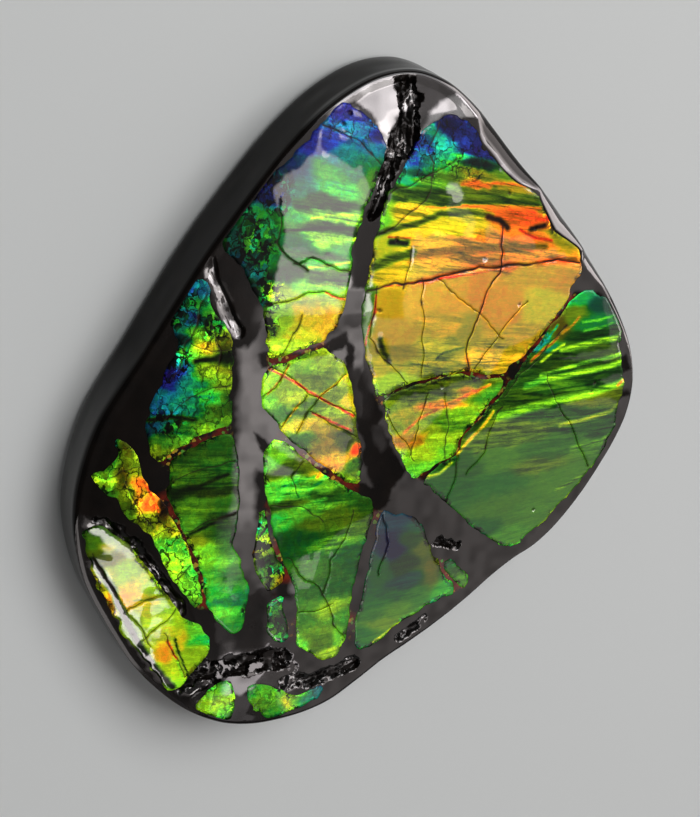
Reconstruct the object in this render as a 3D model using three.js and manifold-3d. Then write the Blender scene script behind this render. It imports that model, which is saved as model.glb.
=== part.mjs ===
// Polished ammolite hand specimen, lying on its sawn back with the shell face up.
// A teardrop slab of dark ironstone matrix carries a thin layer of fossil ammonite shell
// that broke into plates when it was buried. The matrix fills the seams between the plates,
// and the whole face is polished flush into one low dome.
// Millimetres, +Z up out of the face, +Y towards the narrow end, origin at the centre of the back.
import * as THREE from 'three';
import { mergeVertices } from 'three/addons/utils/BufferGeometryUtils.js';
import Module from 'manifold-3d';

const wasm = await Module();
wasm.setup();

// ---- Driving dimensions ----
const CROWN_HEIGHT = 13.2;                        // back to the top of the dome
const LONG_AXIS = THREE.MathUtils.degToRad(77);   // direction of the slab's long axis in plan
const LONG_RADIUS = 315;                          // curvature of the dome along the long axis
const CROSS_RADIUS = 155;                         // curvature of the dome across it
const SHELL = 1.0;                                // thickness of the shell layer
const BED = 0.3;                                  // clearance between a plate and its bed
const BACK_ROUND = 1.8;                           // rounding between the back and the wall
const OUTLINE_STEPS = 64;                         // stations round the slab
const FACE_RINGS = [0.7, 0.36];                   // rings of the dome, as shares of its radius
const PLAN_CENTRE = new THREE.Vector2(-3, -2);    // middle of those rings
const TALL = 30;                                  // height of a cutting prism
const TO_ORIGIN = new THREE.Vector3(0.27, 0.07, 0); // from the drawing to the middle of the back

// Outline of the slab, clockwise from the narrow end: x, y of the wall,
// then the width and the depth of the polished round between the wall and the face.
const OUTLINE = [
  [3, 46.9, 1.2, 1.0], [8.2, 44.9, 1.8, 1.4], [13.7, 40.1, 2.6, 2.0], [19, 34, 3.0, 2.4],
  [25.5, 27, 3.4, 2.4], [31.5, 19.5, 3.2, 2.2], [36.5, 12.5, 2.2, 1.8], [40, 6, 1.8, 1.4],
  [41.5, 0, 1.6, 1.2], [40.8, -5.5, 1.5, 1.2], [38, -11, 1.4, 1.1], [33, -18, 1.2, 1.0],
  [28, -22.8, 1.2, 1.0], [22.3, -25.8, 1.2, 1.0], [15.5, -31, 1.2, 1.0], [9.5, -35.3, 1.2, 1.0],
  [3.5, -39, 1.2, 1.0], [-3.5, -44.3, 1.2, 1.0], [-10.5, -46.6, 1.3, 1.1], [-18, -46.8, 1.3, 1.1],
  [-25, -43.8, 1.3, 1.1], [-31.5, -38, 1.3, 1.0], [-36, -31.2, 1.2, 1.0], [-40, -23.5, 1.1, 0.9],
  [-42, -15, 1.1, 0.9], [-41.5, -8, 1.1, 0.9], [-39.1, 0, 1.1, 1.0], [-34.5, 8, 1.1, 1.0],
  [-30.2, 15.5, 1.2, 1.0], [-25.8, 22.8, 1.3, 1.0], [-20.3, 30.5, 1.5, 1.1], [-14.8, 37.4, 1.6, 1.2],
  [-9.2, 42.7, 1.6, 1.2], [-3, 46.2, 1.4, 1.1],
];

// A low facet polished at its own angle along the lower left edge, through three points:
// its two ends on the dome and its outer edge, which lies lower than the dome there.
const FACET_ENDS = [[-40.5, -13.5], [-22.5, -37]];
const FACET_EDGE = [-38, -30, 1.5];

// Outlines of the shell plates in plan.
const PLATES = {
  shell_upper_centre: [
    [-9.4, 39.6], [-7.5, 41.8], [-5.5, 42], [-2.5, 39], [-1.5, 37], [-2, 34], [-4, 29], [-5.5, 25],
    [-6.2, 19.5], [-7, 12.8], [-10, 10.8], [-12.5, 9.8], [-17, 8.4], [-17.5, 14], [-18.5, 16.5],
    [-21, 21], [-23.4, 23.6], [-21, 27.2], [-16, 33], [-12.5, 36.8],
  ],
  shell_middle_centre: [
    [-17, 7], [-13.5, 8.2], [-9.7, 9.3], [-8, 8.5], [-6.5, 7.5], [-5.5, 5.5], [-4.5, 1.5], [-3, -5],
    [-2.7, -10.8], [-7.5, -7.8], [-12, -4.3], [-17.3, 1], [-18, 5],
  ],
  shell_lower_centre: [
    [-17, -5.8], [-16.8, -4.5], [-15.7, -3.4], [-14.3, -3.4], [-10, -7.4], [-5, -11], [-2.6, -12.2],
    [-1.2, -12.6], [-0.4, -13.8], [-2.3, -26], [-2.8, -33], [-3.2, -36.8], [-5.5, -37.3],
    [-10, -34.5], [-10, -29.5], [-11.5, -24], [-14.5, -17.5], [-16.5, -10],
  ],
  shell_bottom_centre: [
    [1.2, -14.6], [2.7, -15.5], [5, -15.5], [7, -17], [8.5, -19.5], [11, -24.7], [12.5, -26.9],
    [14.3, -28.2], [10, -30.4], [5.5, -32.7], [3.3, -34.7], [0, -36.6], [-0.8, -35.5], [-1, -32],
    [0.6, -20],
  ],
  shell_small_shard: [
    [11.7, -23.8], [13.5, -23.9], [15.4, -25.8], [16.4, -27], [15.3, -27.6], [13.3, -26.4],
  ],
  shell_upper_right: [
    [1.2, 33.5], [2.2, 35.5], [3.7, 38], [3.8, 39], [8.2, 41], [9.8, 40.2], [10.8, 38.7], [11.5, 36.5],
    [12.2, 35.3], [16.2, 32.3], [18.8, 30], [21.8, 28.3], [22.5, 26.8], [24.5, 24.3], [29.2, 19.8],
    [29.6, 16.6], [26, 12.2], [22.3, 7.7], [18, 4.3], [14.5, 4.3], [12, 5.3], [9, 4.9], [3.5, 4.3],
    [-0.3, 2.7], [-1.5, 4], [-3.4, 9.5], [-4, 14], [-3.9, 17], [-3, 21.5], [-1.4, 29.5],
  ],
  shell_wedge: [
    [0.2, 1.7], [3.7, 3.4], [9, 4], [12, 4.3], [14.5, 3.4], [17.6, 3.3], [18.1, 1.6], [14, -2.3],
    [12.3, -4.4], [11.8, -6.3], [5.7, -10.2], [4.1, -8.9], [2.6, -5.5], [0.2, -0.5],
  ],
  shell_lower_right: [
    [30.7, 14.7], [33.2, 13.8], [35.3, 11.6], [37.3, 7.8], [39.2, 1], [39, -4.8], [36.8, -9.4],
    [32, -15.6], [27.3, -20.4], [24.5, -22.1], [21.5, -23.3], [16.5, -19], [11.5, -14.7], [8.6, -12.2],
    [7.2, -10.3], [9.6, -8.9], [12.4, -7.9], [12.9, -5], [14.6, -3], [18.6, 1], [20.5, 3.5],
    [24.3, 7.6], [28, 12.2],
  ],
  shell_left_upper: [
    [-29.2, 10], [-31, 6.5], [-33.4, -1], [-31.9, -5.7], [-30.5, -5.2], [-28.5, -3.7], [-26, -1.7],
    [-21.7, -0.4], [-21.5, 2.5], [-22, 3.5], [-22, 11.5], [-25, 15.5], [-25.6, 19.8], [-27.4, 17.6],
    [-29.8, 13.2],
  ],
  shell_left_lower: [
    [-29.3, -6.2], [-24.5, -2.9], [-21.1, -2.2], [-20.3, -8], [-20, -14.5], [-20.5, -17.5],
    [-18.5, -23.5], [-17.5, -25], [-18, -31.3], [-19.5, -32], [-21, -31], [-22.5, -28.5],
    [-24.3, -22.5], [-27.3, -16.2], [-29.8, -9.5],
  ],
  shell_seam_upper: [
    [-17.2, -12.6], [-16.4, -12.9], [-16, -14.9], [-15.3, -17.9], [-13.9, -20.8], [-12.8, -23.2],
    [-13.2, -24.6], [-14.9, -26.2], [-15.8, -23.9], [-17.5, -21], [-17.4, -19], [-16.9, -16],
  ],
  shell_seam_lower: [
    [-14.7, -27.6], [-13.3, -26.6], [-12.4, -26.7], [-12.6, -28], [-12, -30.4], [-11.3, -33],
    [-11.9, -33.9], [-13.2, -33.6], [-14.5, -32], [-14.6, -29.2],
  ],
  shell_left_strip: [
    [-37.4, -2.2], [-36.2, -4.8], [-39, -8], [-39, -9.5], [-37.8, -10.6], [-36.4, -11],
    [-35.8, -12.5], [-34.5, -14.5], [-31.5, -16.5], [-30.5, -18.5], [-29.8, -21], [-26, -26.4],
    [-24.6, -27.4], [-24.9, -23], [-28.2, -16], [-30, -13], [-33.4, -8], [-34.4, -4.6], [-35.2, -3.6],
  ],
  shell_left_flap: [
    [-39.9, -15.6], [-38.5, -15], [-35, -17.8], [-33.5, -19.7], [-32, -21.2], [-26, -29.7],
    [-24.5, -30.3], [-21.9, -34], [-24.6, -37.8], [-26.2, -40.6], [-28.4, -38.6], [-33.4, -31.6],
    [-37.9, -23.4], [-39.5, -18.6],
  ],
  shell_bottom_left: [
    [-23.2, -42.8], [-22, -40.7], [-20.5, -39.7], [-19, -39.7], [-17.7, -43.6], [-18.1, -45.1],
    [-19.8, -45],
  ],
  shell_bottom_edge: [
    [-16.5, -40.7], [-15, -40.2], [-13, -40.7], [-10.5, -42.4], [-9, -42.8], [-7, -42],
    [-4.6, -41.6], [-5.6, -42.8], [-7.7, -43.9], [-12.5, -45], [-14.5, -44.4], [-16, -43.3],
  ],
};

// Rough stretches where the polish stops: x, y along the middle, the width and the depth.
const ROUGH = [
  { name: 'main vein', line: [[1.3, 43], [0.6, 36.5], [-2.2, 29.5], [-4, 23], [-5.2, 15]], width: 2.3, deep: 0.9 },
  { name: 'left chip', line: [[-24.2, 20.3], [-22.3, 15.8], [-20.4, 12]], width: 1.9, deep: 1.1 },
  { name: 'flap ledge', line: [[-37.6, -13.6], [-33, -17.8], [-29.3, -22.6], [-24.6, -28.8]], width: 1.5, deep: 1.1 },
  { name: 'bottom pit, left', line: [[-20.3, -36.2], [-14.6, -36.6]], width: 2.8, deep: 1.6 },
  { name: 'bottom pit, middle', line: [[-11.5, -38.6], [-2.6, -39.6]], width: 2.2, deep: 1.4 },
  { name: 'seam pit', line: [[10.8, -20.6], [13.6, -21.6]], width: 1.7, deep: 1.1 },
  { name: 'rim pit', line: [[6.4, -34.8], [9.4, -33]], width: 1.6, deep: 1.2 },
];

// ---- Surface of the face ----

// Height of the polished dome above the back.
function domeHeight(x, y) {
  const along = x * Math.cos(LONG_AXIS) + y * Math.sin(LONG_AXIS);
  const across = -x * Math.sin(LONG_AXIS) + y * Math.cos(LONG_AXIS);
  return CROWN_HEIGHT - along ** 2 / (2 * LONG_RADIUS) - across ** 2 / (2 * CROSS_RADIUS);
}

// ---- Solids and cuts ----

function toSolid(geometry) {
  const bare = geometry.clone();
  bare.deleteAttribute('normal');
  bare.deleteAttribute('uv');
  const merged = mergeVertices(bare);
  return new wasm.Manifold(new wasm.Mesh({
    numProp: 3,
    vertProperties: new Float32Array(merged.attributes.position.array),
    triVerts: new Uint32Array(merged.index.array),
  }));
}

function toMesh(name, solid, material) {
  const { vertProperties, triVerts } = solid.getMesh();
  const geometry = new THREE.BufferGeometry();
  geometry.setAttribute('position', new THREE.BufferAttribute(new Float32Array(vertProperties), 3));
  geometry.setIndex(new THREE.BufferAttribute(new Uint32Array(triVerts), 1));
  geometry.computeVertexNormals();
  const mesh = new THREE.Mesh(geometry, material);
  mesh.name = name;
  return mesh;
}

function unionOf(solids) {
  return solids.reduce((whole, next) => whole.add(next));
}

// The largest body of a cut solid, without the specks that two crossing cuts can leave.
function mainBody(solid) {
  return solid.decompose().reduce((best, next) => (next.volume() > best.volume() ? next : best));
}

// ---- The slab before its face is divided ----

// Stations round the slab: the point on the wall, the way in and the polished round's size.
function outlineStations() {
  const wall = new THREE.CatmullRomCurve3(
    OUTLINE.map(([x, y]) => new THREE.Vector3(x, y, 0)), true, 'centripetal');
  const round = new THREE.CatmullRomCurve3(
    OUTLINE.map(([, , width, depth]) => new THREE.Vector3(width, depth, 0)), true, 'centripetal');
  return Array.from({ length: OUTLINE_STEPS }, (_, i) => {
    const u = i / OUTLINE_STEPS;
    const point = wall.getPoint(u);
    const tangent = wall.getTangent(u);
    const size = round.getPoint(u);
    const inward = new THREE.Vector2(tangent.y, -tangent.x).normalize();
    return { point, inward, width: size.x, depth: size.y };
  });
}

// Rings of the slab from the back to the face: each is a point on a station's profile.
function slabRings(stations) {
  const onProfile = (inset, height) => ({ point, inward }) => {
    const x = point.x + inward.x * inset;
    const y = point.y + inward.y * inset;
    return new THREE.Vector3(x, y, height(x, y));
  };
  const rings = [];
  rings.push(stations.map(onProfile(BACK_ROUND * 0.8, () => 0)));
  rings.push(stations.map(onProfile(BACK_ROUND * 0.25, () => BACK_ROUND * 0.3)));
  rings.push(stations.map(onProfile(0, () => BACK_ROUND)));
  for (const turn of [0, 30, 60, 90]) {
    const angle = THREE.MathUtils.degToRad(turn);
    rings.push(stations.map((station) => {
      const inset = station.width * (1 - Math.cos(angle));
      const drop = station.depth * (1 - Math.sin(angle));
      return onProfile(inset, (x, y) => domeHeight(x, y) - drop)(station);
    }));
  }
  const edge = rings.at(-1);
  for (const share of FACE_RINGS) {
    rings.push(edge.map((p) => {
      const x = PLAN_CENTRE.x + (p.x - PLAN_CENTRE.x) * share;
      const y = PLAN_CENTRE.y + (p.y - PLAN_CENTRE.y) * share;
      return new THREE.Vector3(x, y, domeHeight(x, y));
    }));
  }
  return rings;
}

// Closed geometry that joins the rings, with a fan over the face and one under the back.
function loftGeometry(rings) {
  const count = rings[0].length;
  const vertices = rings.flat();
  const triangles = [];
  for (let ring = 0; ring + 1 < rings.length; ring++) {
    for (let i = 0; i < count; i++) {
      const next = (i + 1) % count;
      const a = ring * count + i;
      const b = ring * count + next;
      const c = a + count;
      const d = b + count;
      triangles.push([a, c, b], [b, c, d]);
    }
  }
  const backCentre = vertices.push(new THREE.Vector3(PLAN_CENTRE.x, PLAN_CENTRE.y, 0)) - 1;
  const faceCentre = vertices.push(new THREE.Vector3(
    PLAN_CENTRE.x, PLAN_CENTRE.y, domeHeight(PLAN_CENTRE.x, PLAN_CENTRE.y))) - 1;
  const last = (rings.length - 1) * count;
  for (let i = 0; i < count; i++) {
    const next = (i + 1) % count;
    triangles.push([backCentre, i, next], [faceCentre, last + next, last + i]);
  }
  const geometry = new THREE.BufferGeometry().setFromPoints(vertices);
  geometry.setIndex(triangles.flat());
  return geometry;
}

// Block of everything above the facet's plane.
function facetCutter() {
  const [a, b] = FACET_ENDS.map(([x, y]) => new THREE.Vector3(x, y, domeHeight(x, y)));
  const [edgeX, edgeY, drop] = FACET_EDGE;
  const edge = new THREE.Vector3(edgeX, edgeY, domeHeight(edgeX, edgeY) - drop);
  const plane = new THREE.Plane().setFromCoplanarPoints(a, b, edge);
  const up = plane.normal.clone().multiplyScalar(Math.sign(plane.normal.z));
  const block = new THREE.BoxGeometry(TALL * 2, TALL * 2, TALL);
  block.translate(0, 0, TALL / 2);
  block.applyQuaternion(new THREE.Quaternion().setFromUnitVectors(new THREE.Vector3(0, 0, 1), up));
  block.translate(...a.lerp(b, 0.5).toArray());
  return toSolid(block);
}

// ---- Shell plates and their beds ----

// Outline moved outwards by an amount, corner by corner.
function grown(outline, amount) {
  const points = outline.map(([x, y]) => new THREE.Vector2(x, y));
  const turn = THREE.ShapeUtils.area(points) > 0 ? 1 : -1;
  return points.map((point, i) => {
    const before = points.at(i - 1);
    const after = points[(i + 1) % points.length];
    const sides = [point.clone().sub(before), after.clone().sub(point)];
    const [n1, n2] = sides.map((side) => new THREE.Vector2(side.y, -side.x).normalize().multiplyScalar(turn));
    const middle = n1.clone().add(n2).normalize();
    const reach = amount / Math.max(middle.dot(n1), 0.5);
    return point.clone().addScaledVector(middle, reach);
  });
}

function prism(outline, growth) {
  const geometry = new THREE.ExtrudeGeometry(new THREE.Shape(grown(outline, growth)), {
    depth: TALL,
    bevelEnabled: false,
  });
  geometry.translate(0, 0, BED + SHELL + BACK_ROUND);
  return toSolid(geometry);
}

// ---- Rough stretches ----

// Small fixed sequence of numbers from 0 to 1, the same every time.
function numberSequence(seed) {
  let state = seed;
  return () => {
    state = (state * 1664525 + 1013904223) % 4294967296;
    return state / 4294967296;
  };
}

// Irregular lump with flat faces, like the hollow that a broken grain leaves.
function lump(x, y, across, deep, random) {
  const ball = new THREE.IcosahedronGeometry(1, 0);
  ball.deleteAttribute('normal');
  ball.deleteAttribute('uv');
  const geometry = mergeVertices(ball);
  const position = geometry.attributes.position;
  for (let i = 0; i < position.count; i++) {
    const reach = 0.85 + 0.4 * random();
    position.setXYZ(i, position.getX(i) * reach, position.getY(i) * reach, position.getZ(i) * reach);
  }
  geometry.scale(across * 0.5, across * 0.62, deep);
  geometry.rotateZ(random() * Math.PI);
  geometry.translate(x, y, domeHeight(x, y));
  return toSolid(geometry);
}

function roughTrench({ line, width, deep }, random) {
  const path = new THREE.CatmullRomCurve3(line.map(([x, y]) => new THREE.Vector3(x, y, 0)));
  const count = Math.max(2, Math.round(path.getLength() / (width * 0.75)));
  return unionOf(Array.from({ length: count + 1 }, (_, i) => {
    const point = path.getPointAt(i / count);
    const along = path.getTangentAt(i / count);
    const aside = width * 0.35 * (random() - 0.5);
    const across = width * (0.8 + 0.4 * random());
    const sunk = deep * (0.7 + 0.5 * random());
    return lump(point.x - along.y * aside, point.y + along.x * aside, across, sunk, random);
  }));
}

// ---- The specimen ----

const stone = new THREE.MeshStandardMaterial({ color: 0x241d1a, roughness: 0.25, metalness: 0 });
const shellColours = {
  shell_upper_centre: 0x4fae5c,
  shell_middle_centre: 0x9fc42a,
  shell_lower_centre: 0x4fae2c,
  shell_bottom_centre: 0x4f9a6a,
  shell_small_shard: 0x9a8a2a,
  shell_upper_right: 0xe0a23a,
  shell_wedge: 0x9fae3a,
  shell_lower_right: 0x5f9a4a,
  shell_left_upper: 0x2a9a7c,
  shell_left_lower: 0x4fae2a,
  shell_seam_upper: 0x2a4a24,
  shell_seam_lower: 0x3f5f4c,
  shell_left_strip: 0xc8752a,
  shell_left_flap: 0xb8c46a,
  shell_bottom_left: 0x7fb85a,
  shell_bottom_edge: 0x4fa88a,
};

const slab = toSolid(loftGeometry(slabRings(outlineStations()))).subtract(facetCutter());
const underShell = slab.translate([0, 0, -SHELL]);
const underBed = slab.translate([0, 0, -SHELL - BED]);
const random = numberSequence(7);
const trenches = unionOf(ROUGH.map((stretch) => roughTrench(stretch, random)));

const beds = unionOf(Object.values(PLATES).map((outline) => prism(outline, BED / 2))).subtract(underBed);
const matrix = mainBody(slab.subtract(beds).subtract(trenches));

const specimen = new THREE.Group();
specimen.position.copy(TO_ORIGIN);
specimen.add(toMesh('matrix', matrix, stone));
for (const [name, outline] of Object.entries(PLATES)) {
  const plate = prism(outline, -BED / 2).intersect(slab).subtract(underShell);
  const material = new THREE.MeshStandardMaterial({
    color: shellColours[name], roughness: 0.2, metalness: 0.2,
  });
  specimen.add(toMesh(name, plate, material));
}

export default specimen;
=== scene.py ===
import math

import bpy
import numpy as np
from mathutils import Matrix, Vector
from mathutils.geometry import delaunay_2d_cdt


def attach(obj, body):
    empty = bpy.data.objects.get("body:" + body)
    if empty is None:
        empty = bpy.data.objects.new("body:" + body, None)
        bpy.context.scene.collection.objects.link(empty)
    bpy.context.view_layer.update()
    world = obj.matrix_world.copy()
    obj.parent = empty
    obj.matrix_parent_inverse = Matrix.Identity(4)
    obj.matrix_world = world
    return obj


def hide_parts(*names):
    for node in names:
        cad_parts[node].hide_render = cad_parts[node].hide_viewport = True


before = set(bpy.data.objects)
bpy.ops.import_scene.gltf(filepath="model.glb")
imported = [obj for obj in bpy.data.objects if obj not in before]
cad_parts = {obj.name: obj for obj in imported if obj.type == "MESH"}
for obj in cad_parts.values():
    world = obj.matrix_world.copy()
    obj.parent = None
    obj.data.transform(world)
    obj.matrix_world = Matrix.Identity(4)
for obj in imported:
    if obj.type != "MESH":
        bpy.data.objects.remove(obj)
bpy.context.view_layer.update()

# Polished ammolite hand specimen, lying on its sawn back with the shell face up.
# Lengths are worked out in millimetres and turned to metres where a mesh is made.
METRE = 1000.0


# ---- Camera ----
# The specimen is seen from 30 degrees off the vertical, over its upper left edge,
# with a portrait lens from a little over 40 cm.
LENS_TILT = math.radians(30)
LENS_SIDE = math.radians(40)
LENS_DISTANCE = 0.42
LENS_AIM = Vector((-0.0038, 0.00014, 0.011))

towards_lens = Vector((
    -math.sin(LENS_TILT) * math.cos(LENS_SIDE),
    math.sin(LENS_TILT) * math.sin(LENS_SIDE),
    math.cos(LENS_TILT),
))
lens = bpy.data.cameras.new("lens")
lens.lens = 135
lens.sensor_width = 36
camera = bpy.data.objects.new("camera", lens)
bpy.context.scene.collection.objects.link(camera)
lean = Vector((0, 0, 1)).rotation_difference(towards_lens).to_matrix().to_4x4()
camera.matrix_world = Matrix.Translation(LENS_AIM + towards_lens * LENS_DISTANCE) @ lean
bpy.context.scene.camera = camera
bpy.context.scene.view_settings.view_transform = "Standard"


# ---- Ironstone matrix ----
# A slab of dark brown ironstone that fills every seam between the shell plates. It was sawn
# flat behind, ground to a teardrop and polished over the face into one low dome, with a wide
# round at the upper right, a small facet at the lower left and a few broken stretches.
CROWN_HEIGHT = 13.2
LONG_AXIS = math.radians(77)
LONG_RADIUS = 315.0
CROSS_RADIUS = 155.0
DRAWN_FROM = np.array([0.27, 0.07])       # the dome's middle, from the middle of the back
PLAN_CENTRE = np.array([-2.7, -1.9])
FACET = [(-40.5, -13.5, 0.0), (-22.5, -37.0, 0.0), (-38.0, -30.0, 1.5)]   # x, y, below the dome
FACET_BLEND = 0.12
BACK_ROUND = 1.8
WALL_STATIONS = 560                       # points round the wall
BACK_ROWS, WALL_ROWS, ROUND_ROWS = 7, 9, 9    # rings in the back's rounding, the wall and the rim
SAWN_RINGS = (0.93, 0.7, 0.4, 0.15)       # rings in the sawn back, as shares of its size
SEAM_STEP = 0.28                          # mesh spacing in the seams
BROKEN_STEP = 0.2                         # mesh spacing in the broken stretches
BROKEN_REACH = 0.5                        # and this far round them
BED_STEP = 0.38                           # mesh spacing along the edge of a plate's bed
RIM_GAP, EDGE_GAP = 0.2, 0.12             # free mesh points keep this far from the rim and from edges
REAL_EDGE = math.radians(48)              # a mesh is shaded smooth over turns below this
WAVINESS = 0.012                          # how far the polish is from even
RUSTY_SEAM = 0.78                         # a seam as narrow as this is rusty all across
FAR = 9.0                                 # further than any seam is wide
# The rim is bevelled at the upper right in scallops between notches: bearing in degrees and width.
BEVEL = [(-70, 0.6), (-60, 0.3), (10, 0.3), (15, 0.5), (25, 0.7), (30.5, 1.5), (33, 1.4),
         (34.5, 0.6), (36, 0.7), (42.5, 2.2), (48, 1.5), (50, 1.1), (51.5, 0.6), (56, 2.1),
         (61, 2.6), (66, 2.8), (67.5, 2.4), (70, 1.0), (75, 0.7), (80, 0.6)]
BEVEL_FALL = (0.4, 0.52)                  # depth of the bevel: at no width, and for each mm of it
SEAM_SUNK = 0.05                          # the ironstone polishes a little lower than the shell
BED_DEPTH = 1.06
BED_GROWTH = 0.25                         # from a plate's solid to its ragged edge
RIM_MARGIN = 0.16                         # ironstone left between a plate and the rim
SHARPEST_BEND = 0.1                       # cosine of the sharpest turn that a plate's edge makes
NARROW_REACH, NARROW_TOP = 2.9, 17.5      # a gap below this width and this place may be a narrow seam
RIM_REACH = 2.2                           # a plate this near the rim is drawn out to it
NARROW = {                                # pairs of plates with a narrow seam, and its width
    ("shell_upper_right", "shell_wedge"): 0.35,
    ("shell_wedge", "shell_lower_right"): 0.35,
    ("shell_upper_right", "shell_lower_right"): 0.6,
    ("shell_bottom_centre", "shell_small_shard"): 0.35,
    ("shell_left_strip", "shell_left_lower"): 0.4,
    ("shell_upper_centre", "shell_middle_centre"): 0.8,
    ("shell_middle_centre", "shell_lower_centre"): 0.8,
    ("shell_left_upper", "shell_left_lower"): 0.7,
    ("shell_lower_centre", "shell_bottom_centre"): 1.0,
}

# Broken stretches of the seams: points along the middle, width, depth, how ridged they are and
# how coarse their ridges are.
BROKEN = [
    ([(1.3, 46.3), (2.1, 43.1), (2, 39.8), (1.5, 36.5)], 2.8, 0.9, 1.0, 1.0),
    ([(0.6, 37.8), (-0.5, 33.6), (-1.7, 30.5), (-2.7, 27.7)], 2.0, 0.8, 1.0, 1.0),
    ([(-25.2, 21.9), (-24.7, 19.4), (-23.3, 16.7), (-22.2, 14), (-21, 12.2)], 1.5, 0.75, 0.15, 1.0),
    ([(-38.9, -14.1), (-35.4, -16.1), (-32.3, -19.4), (-29.7, -22.7), (-27.6, -26.3), (-26.5, -28.2)],
     1.3, 0.7, 1.0, 1.0),
    ([(-24.4, -39.9), (-22.4, -38.3), (-19.7, -37.2), (-16.1, -36.7), (-12.5, -36.4)], 3.8, 1.0, 1.0, 1.7),
    ([(-13, -35.7), (-10.1, -38.1)], 1.4, 1.0, 1.0, 1.4),
    ([(-10.5, -40.4), (-6.8, -40.2), (-3.1, -39.6), (-0.6, -38.4)], 2.0, 1.1, 0.7, 1.25),
    ([(11.1, -20.5), (13.9, -21.5)], 1.5, 0.7, 1.0, 1.0),
    ([(6.4, -35.1), (10, -32.4)], 1.2, 0.9, 0.7, 1.3),
]


def dome(x, y):
    """Height of the polished dome above the back."""
    x = x - DRAWN_FROM[0]
    y = y - DRAWN_FROM[1]
    along = x * math.cos(LONG_AXIS) + y * math.sin(LONG_AXIS)
    across = -x * math.sin(LONG_AXIS) + y * math.cos(LONG_AXIS)
    return CROWN_HEIGHT - along ** 2 / (2 * LONG_RADIUS) - across ** 2 / (2 * CROSS_RADIUS)


def facet_plane():
    """Slopes and height of the facet's plane, z = a x + b y + c."""
    corners = [(x + DRAWN_FROM[0], y + DRAWN_FROM[1], low) for x, y, low in FACET]
    heights = [dome(x, y) - low for x, y, low in corners]
    return np.linalg.solve([[x, y, 1.0] for x, y, _ in corners], heights)


facet_slopes = facet_plane()


def under_facet(x, y, z):
    """Height z, cut down to the facet's plane with a slightly worn edge."""
    gap = z - (facet_slopes[0] * x + facet_slopes[1] * y + facet_slopes[2])
    regained = FACET_BLEND * np.exp(-np.abs(gap) * 4)
    return z - 0.5 * (gap + np.sqrt(gap ** 2 + FACET_BLEND ** 2)) + 0.5 * regained


def face(x, y):
    """Height of the polished face."""
    return under_facet(x, y, dome(x, y))


def ripple(x, y, size, seed):
    """Smooth noise from -1 to 1, with bumps about size millimetres apart."""
    side = 128
    table = np.random.default_rng(seed).uniform(-1, 1, (side, side))
    u, v = np.asarray(x) / size, np.asarray(y) / size
    i, j = np.floor(u).astype(int), np.floor(v).astype(int)
    fu, fv = u - i, v - j
    fu, fv = fu * fu * (3 - 2 * fu), fv * fv * (3 - 2 * fv)
    i, j, k, m = i % side, j % side, (i + 1) % side, (j + 1) % side
    near = table[i, j] * (1 - fu) + table[k, j] * fu
    far = table[i, m] * (1 - fu) + table[k, m] * fu
    return near * (1 - fv) + far * fv


def spaced(line, step, closed=False):
    """The same line with a point every step or so."""
    line = np.asarray(line, float)
    path = np.vstack([line, line[:1]]) if closed else line
    lengths = np.hypot(*np.diff(path, axis=0).T)
    reach = np.concatenate([[0], np.cumsum(lengths)])
    count = max(2, int(round(reach[-1] / step)))
    marks = np.linspace(0, reach[-1], count + 1)
    if closed:
        marks = marks[:-1]
    return np.column_stack([np.interp(marks, reach, path[:, i]) for i in (0, 1)])


def sideways(line, closed=False):
    """Unit normal of a line at each of its points."""
    if closed:
        run = np.roll(line, -1, axis=0) - np.roll(line, 1, axis=0)
    else:
        run = np.gradient(line, axis=0)
    run /= np.maximum(np.hypot(*run.T), 1e-9)[:, None]
    return np.column_stack([run[:, 1], -run[:, 0]])


def distance_to(points, line, closed=False):
    """Distance of each point to a line."""
    line = np.asarray(line, float)
    ends = np.roll(line, -1, axis=0) if closed else line[1:]
    starts = line if closed else line[:-1]
    best = np.full(len(points), 1e9)
    for a, b in zip(starts, ends):
        ab = b - a
        t = np.clip(((points - a) @ ab) / max(ab @ ab, 1e-12), 0, 1)
        off = points - a - t[:, None] * ab
        best = np.minimum(best, np.hypot(off[:, 0], off[:, 1]))
    return best


def within(points, loop):
    """Whether each point lies inside a closed line."""
    inside = np.zeros(len(points), bool)
    x, y = points[:, 0], points[:, 1]
    for (x1, y1), (x2, y2) in zip(loop, np.roll(loop, -1, axis=0)):
        if y1 != y2:
            crossing = (y1 > y) != (y2 > y)
            inside ^= crossing & (x < (x2 - x1) * (y - y1) / (y2 - y1) + x1)
    return inside


def plate_corners(node):
    """Corners of a plate's polished face, in order round it."""
    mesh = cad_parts[node].data
    places = np.array([v.co for v in mesh.vertices]) * METRE
    merged, index = np.unique(np.round(places, 3), axis=0, return_inverse=True)
    index = index.ravel()
    upper, wall = set(), set()
    for polygon in mesh.polygons:
        ring = [int(index[i]) for i in polygon.vertices]
        sides = zip(ring, ring[1:] + ring[:1])
        (upper if polygon.normal.z > 0.05 else wall).update(sides)
    follows = {a: b for a, b in upper if (b, a) in wall}
    start = min(follows)
    order = [start]
    while follows[order[-1]] != start:
        order.append(follows[order[-1]])
    loop = merged[order][:, :2]
    before, after = loop - np.roll(loop, 1, axis=0), np.roll(loop, -1, axis=0) - loop
    turn = np.abs(before[:, 0] * after[:, 1] - before[:, 1] * after[:, 0])
    sharp = turn > 0.02 * np.hypot(*before.T) * np.hypot(*after.T)
    return loop[sharp]


def worn(corners):
    """The outline with each corner cut off twice, as polishing rounds it."""
    for share in (0.16, 0.25):
        after = np.roll(corners, -1, axis=0)
        cut = np.stack([corners * (1 - share) + after * share, corners * share + after * (1 - share)], axis=1)
        corners = cut.reshape(-1, 2)
    return corners


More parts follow.
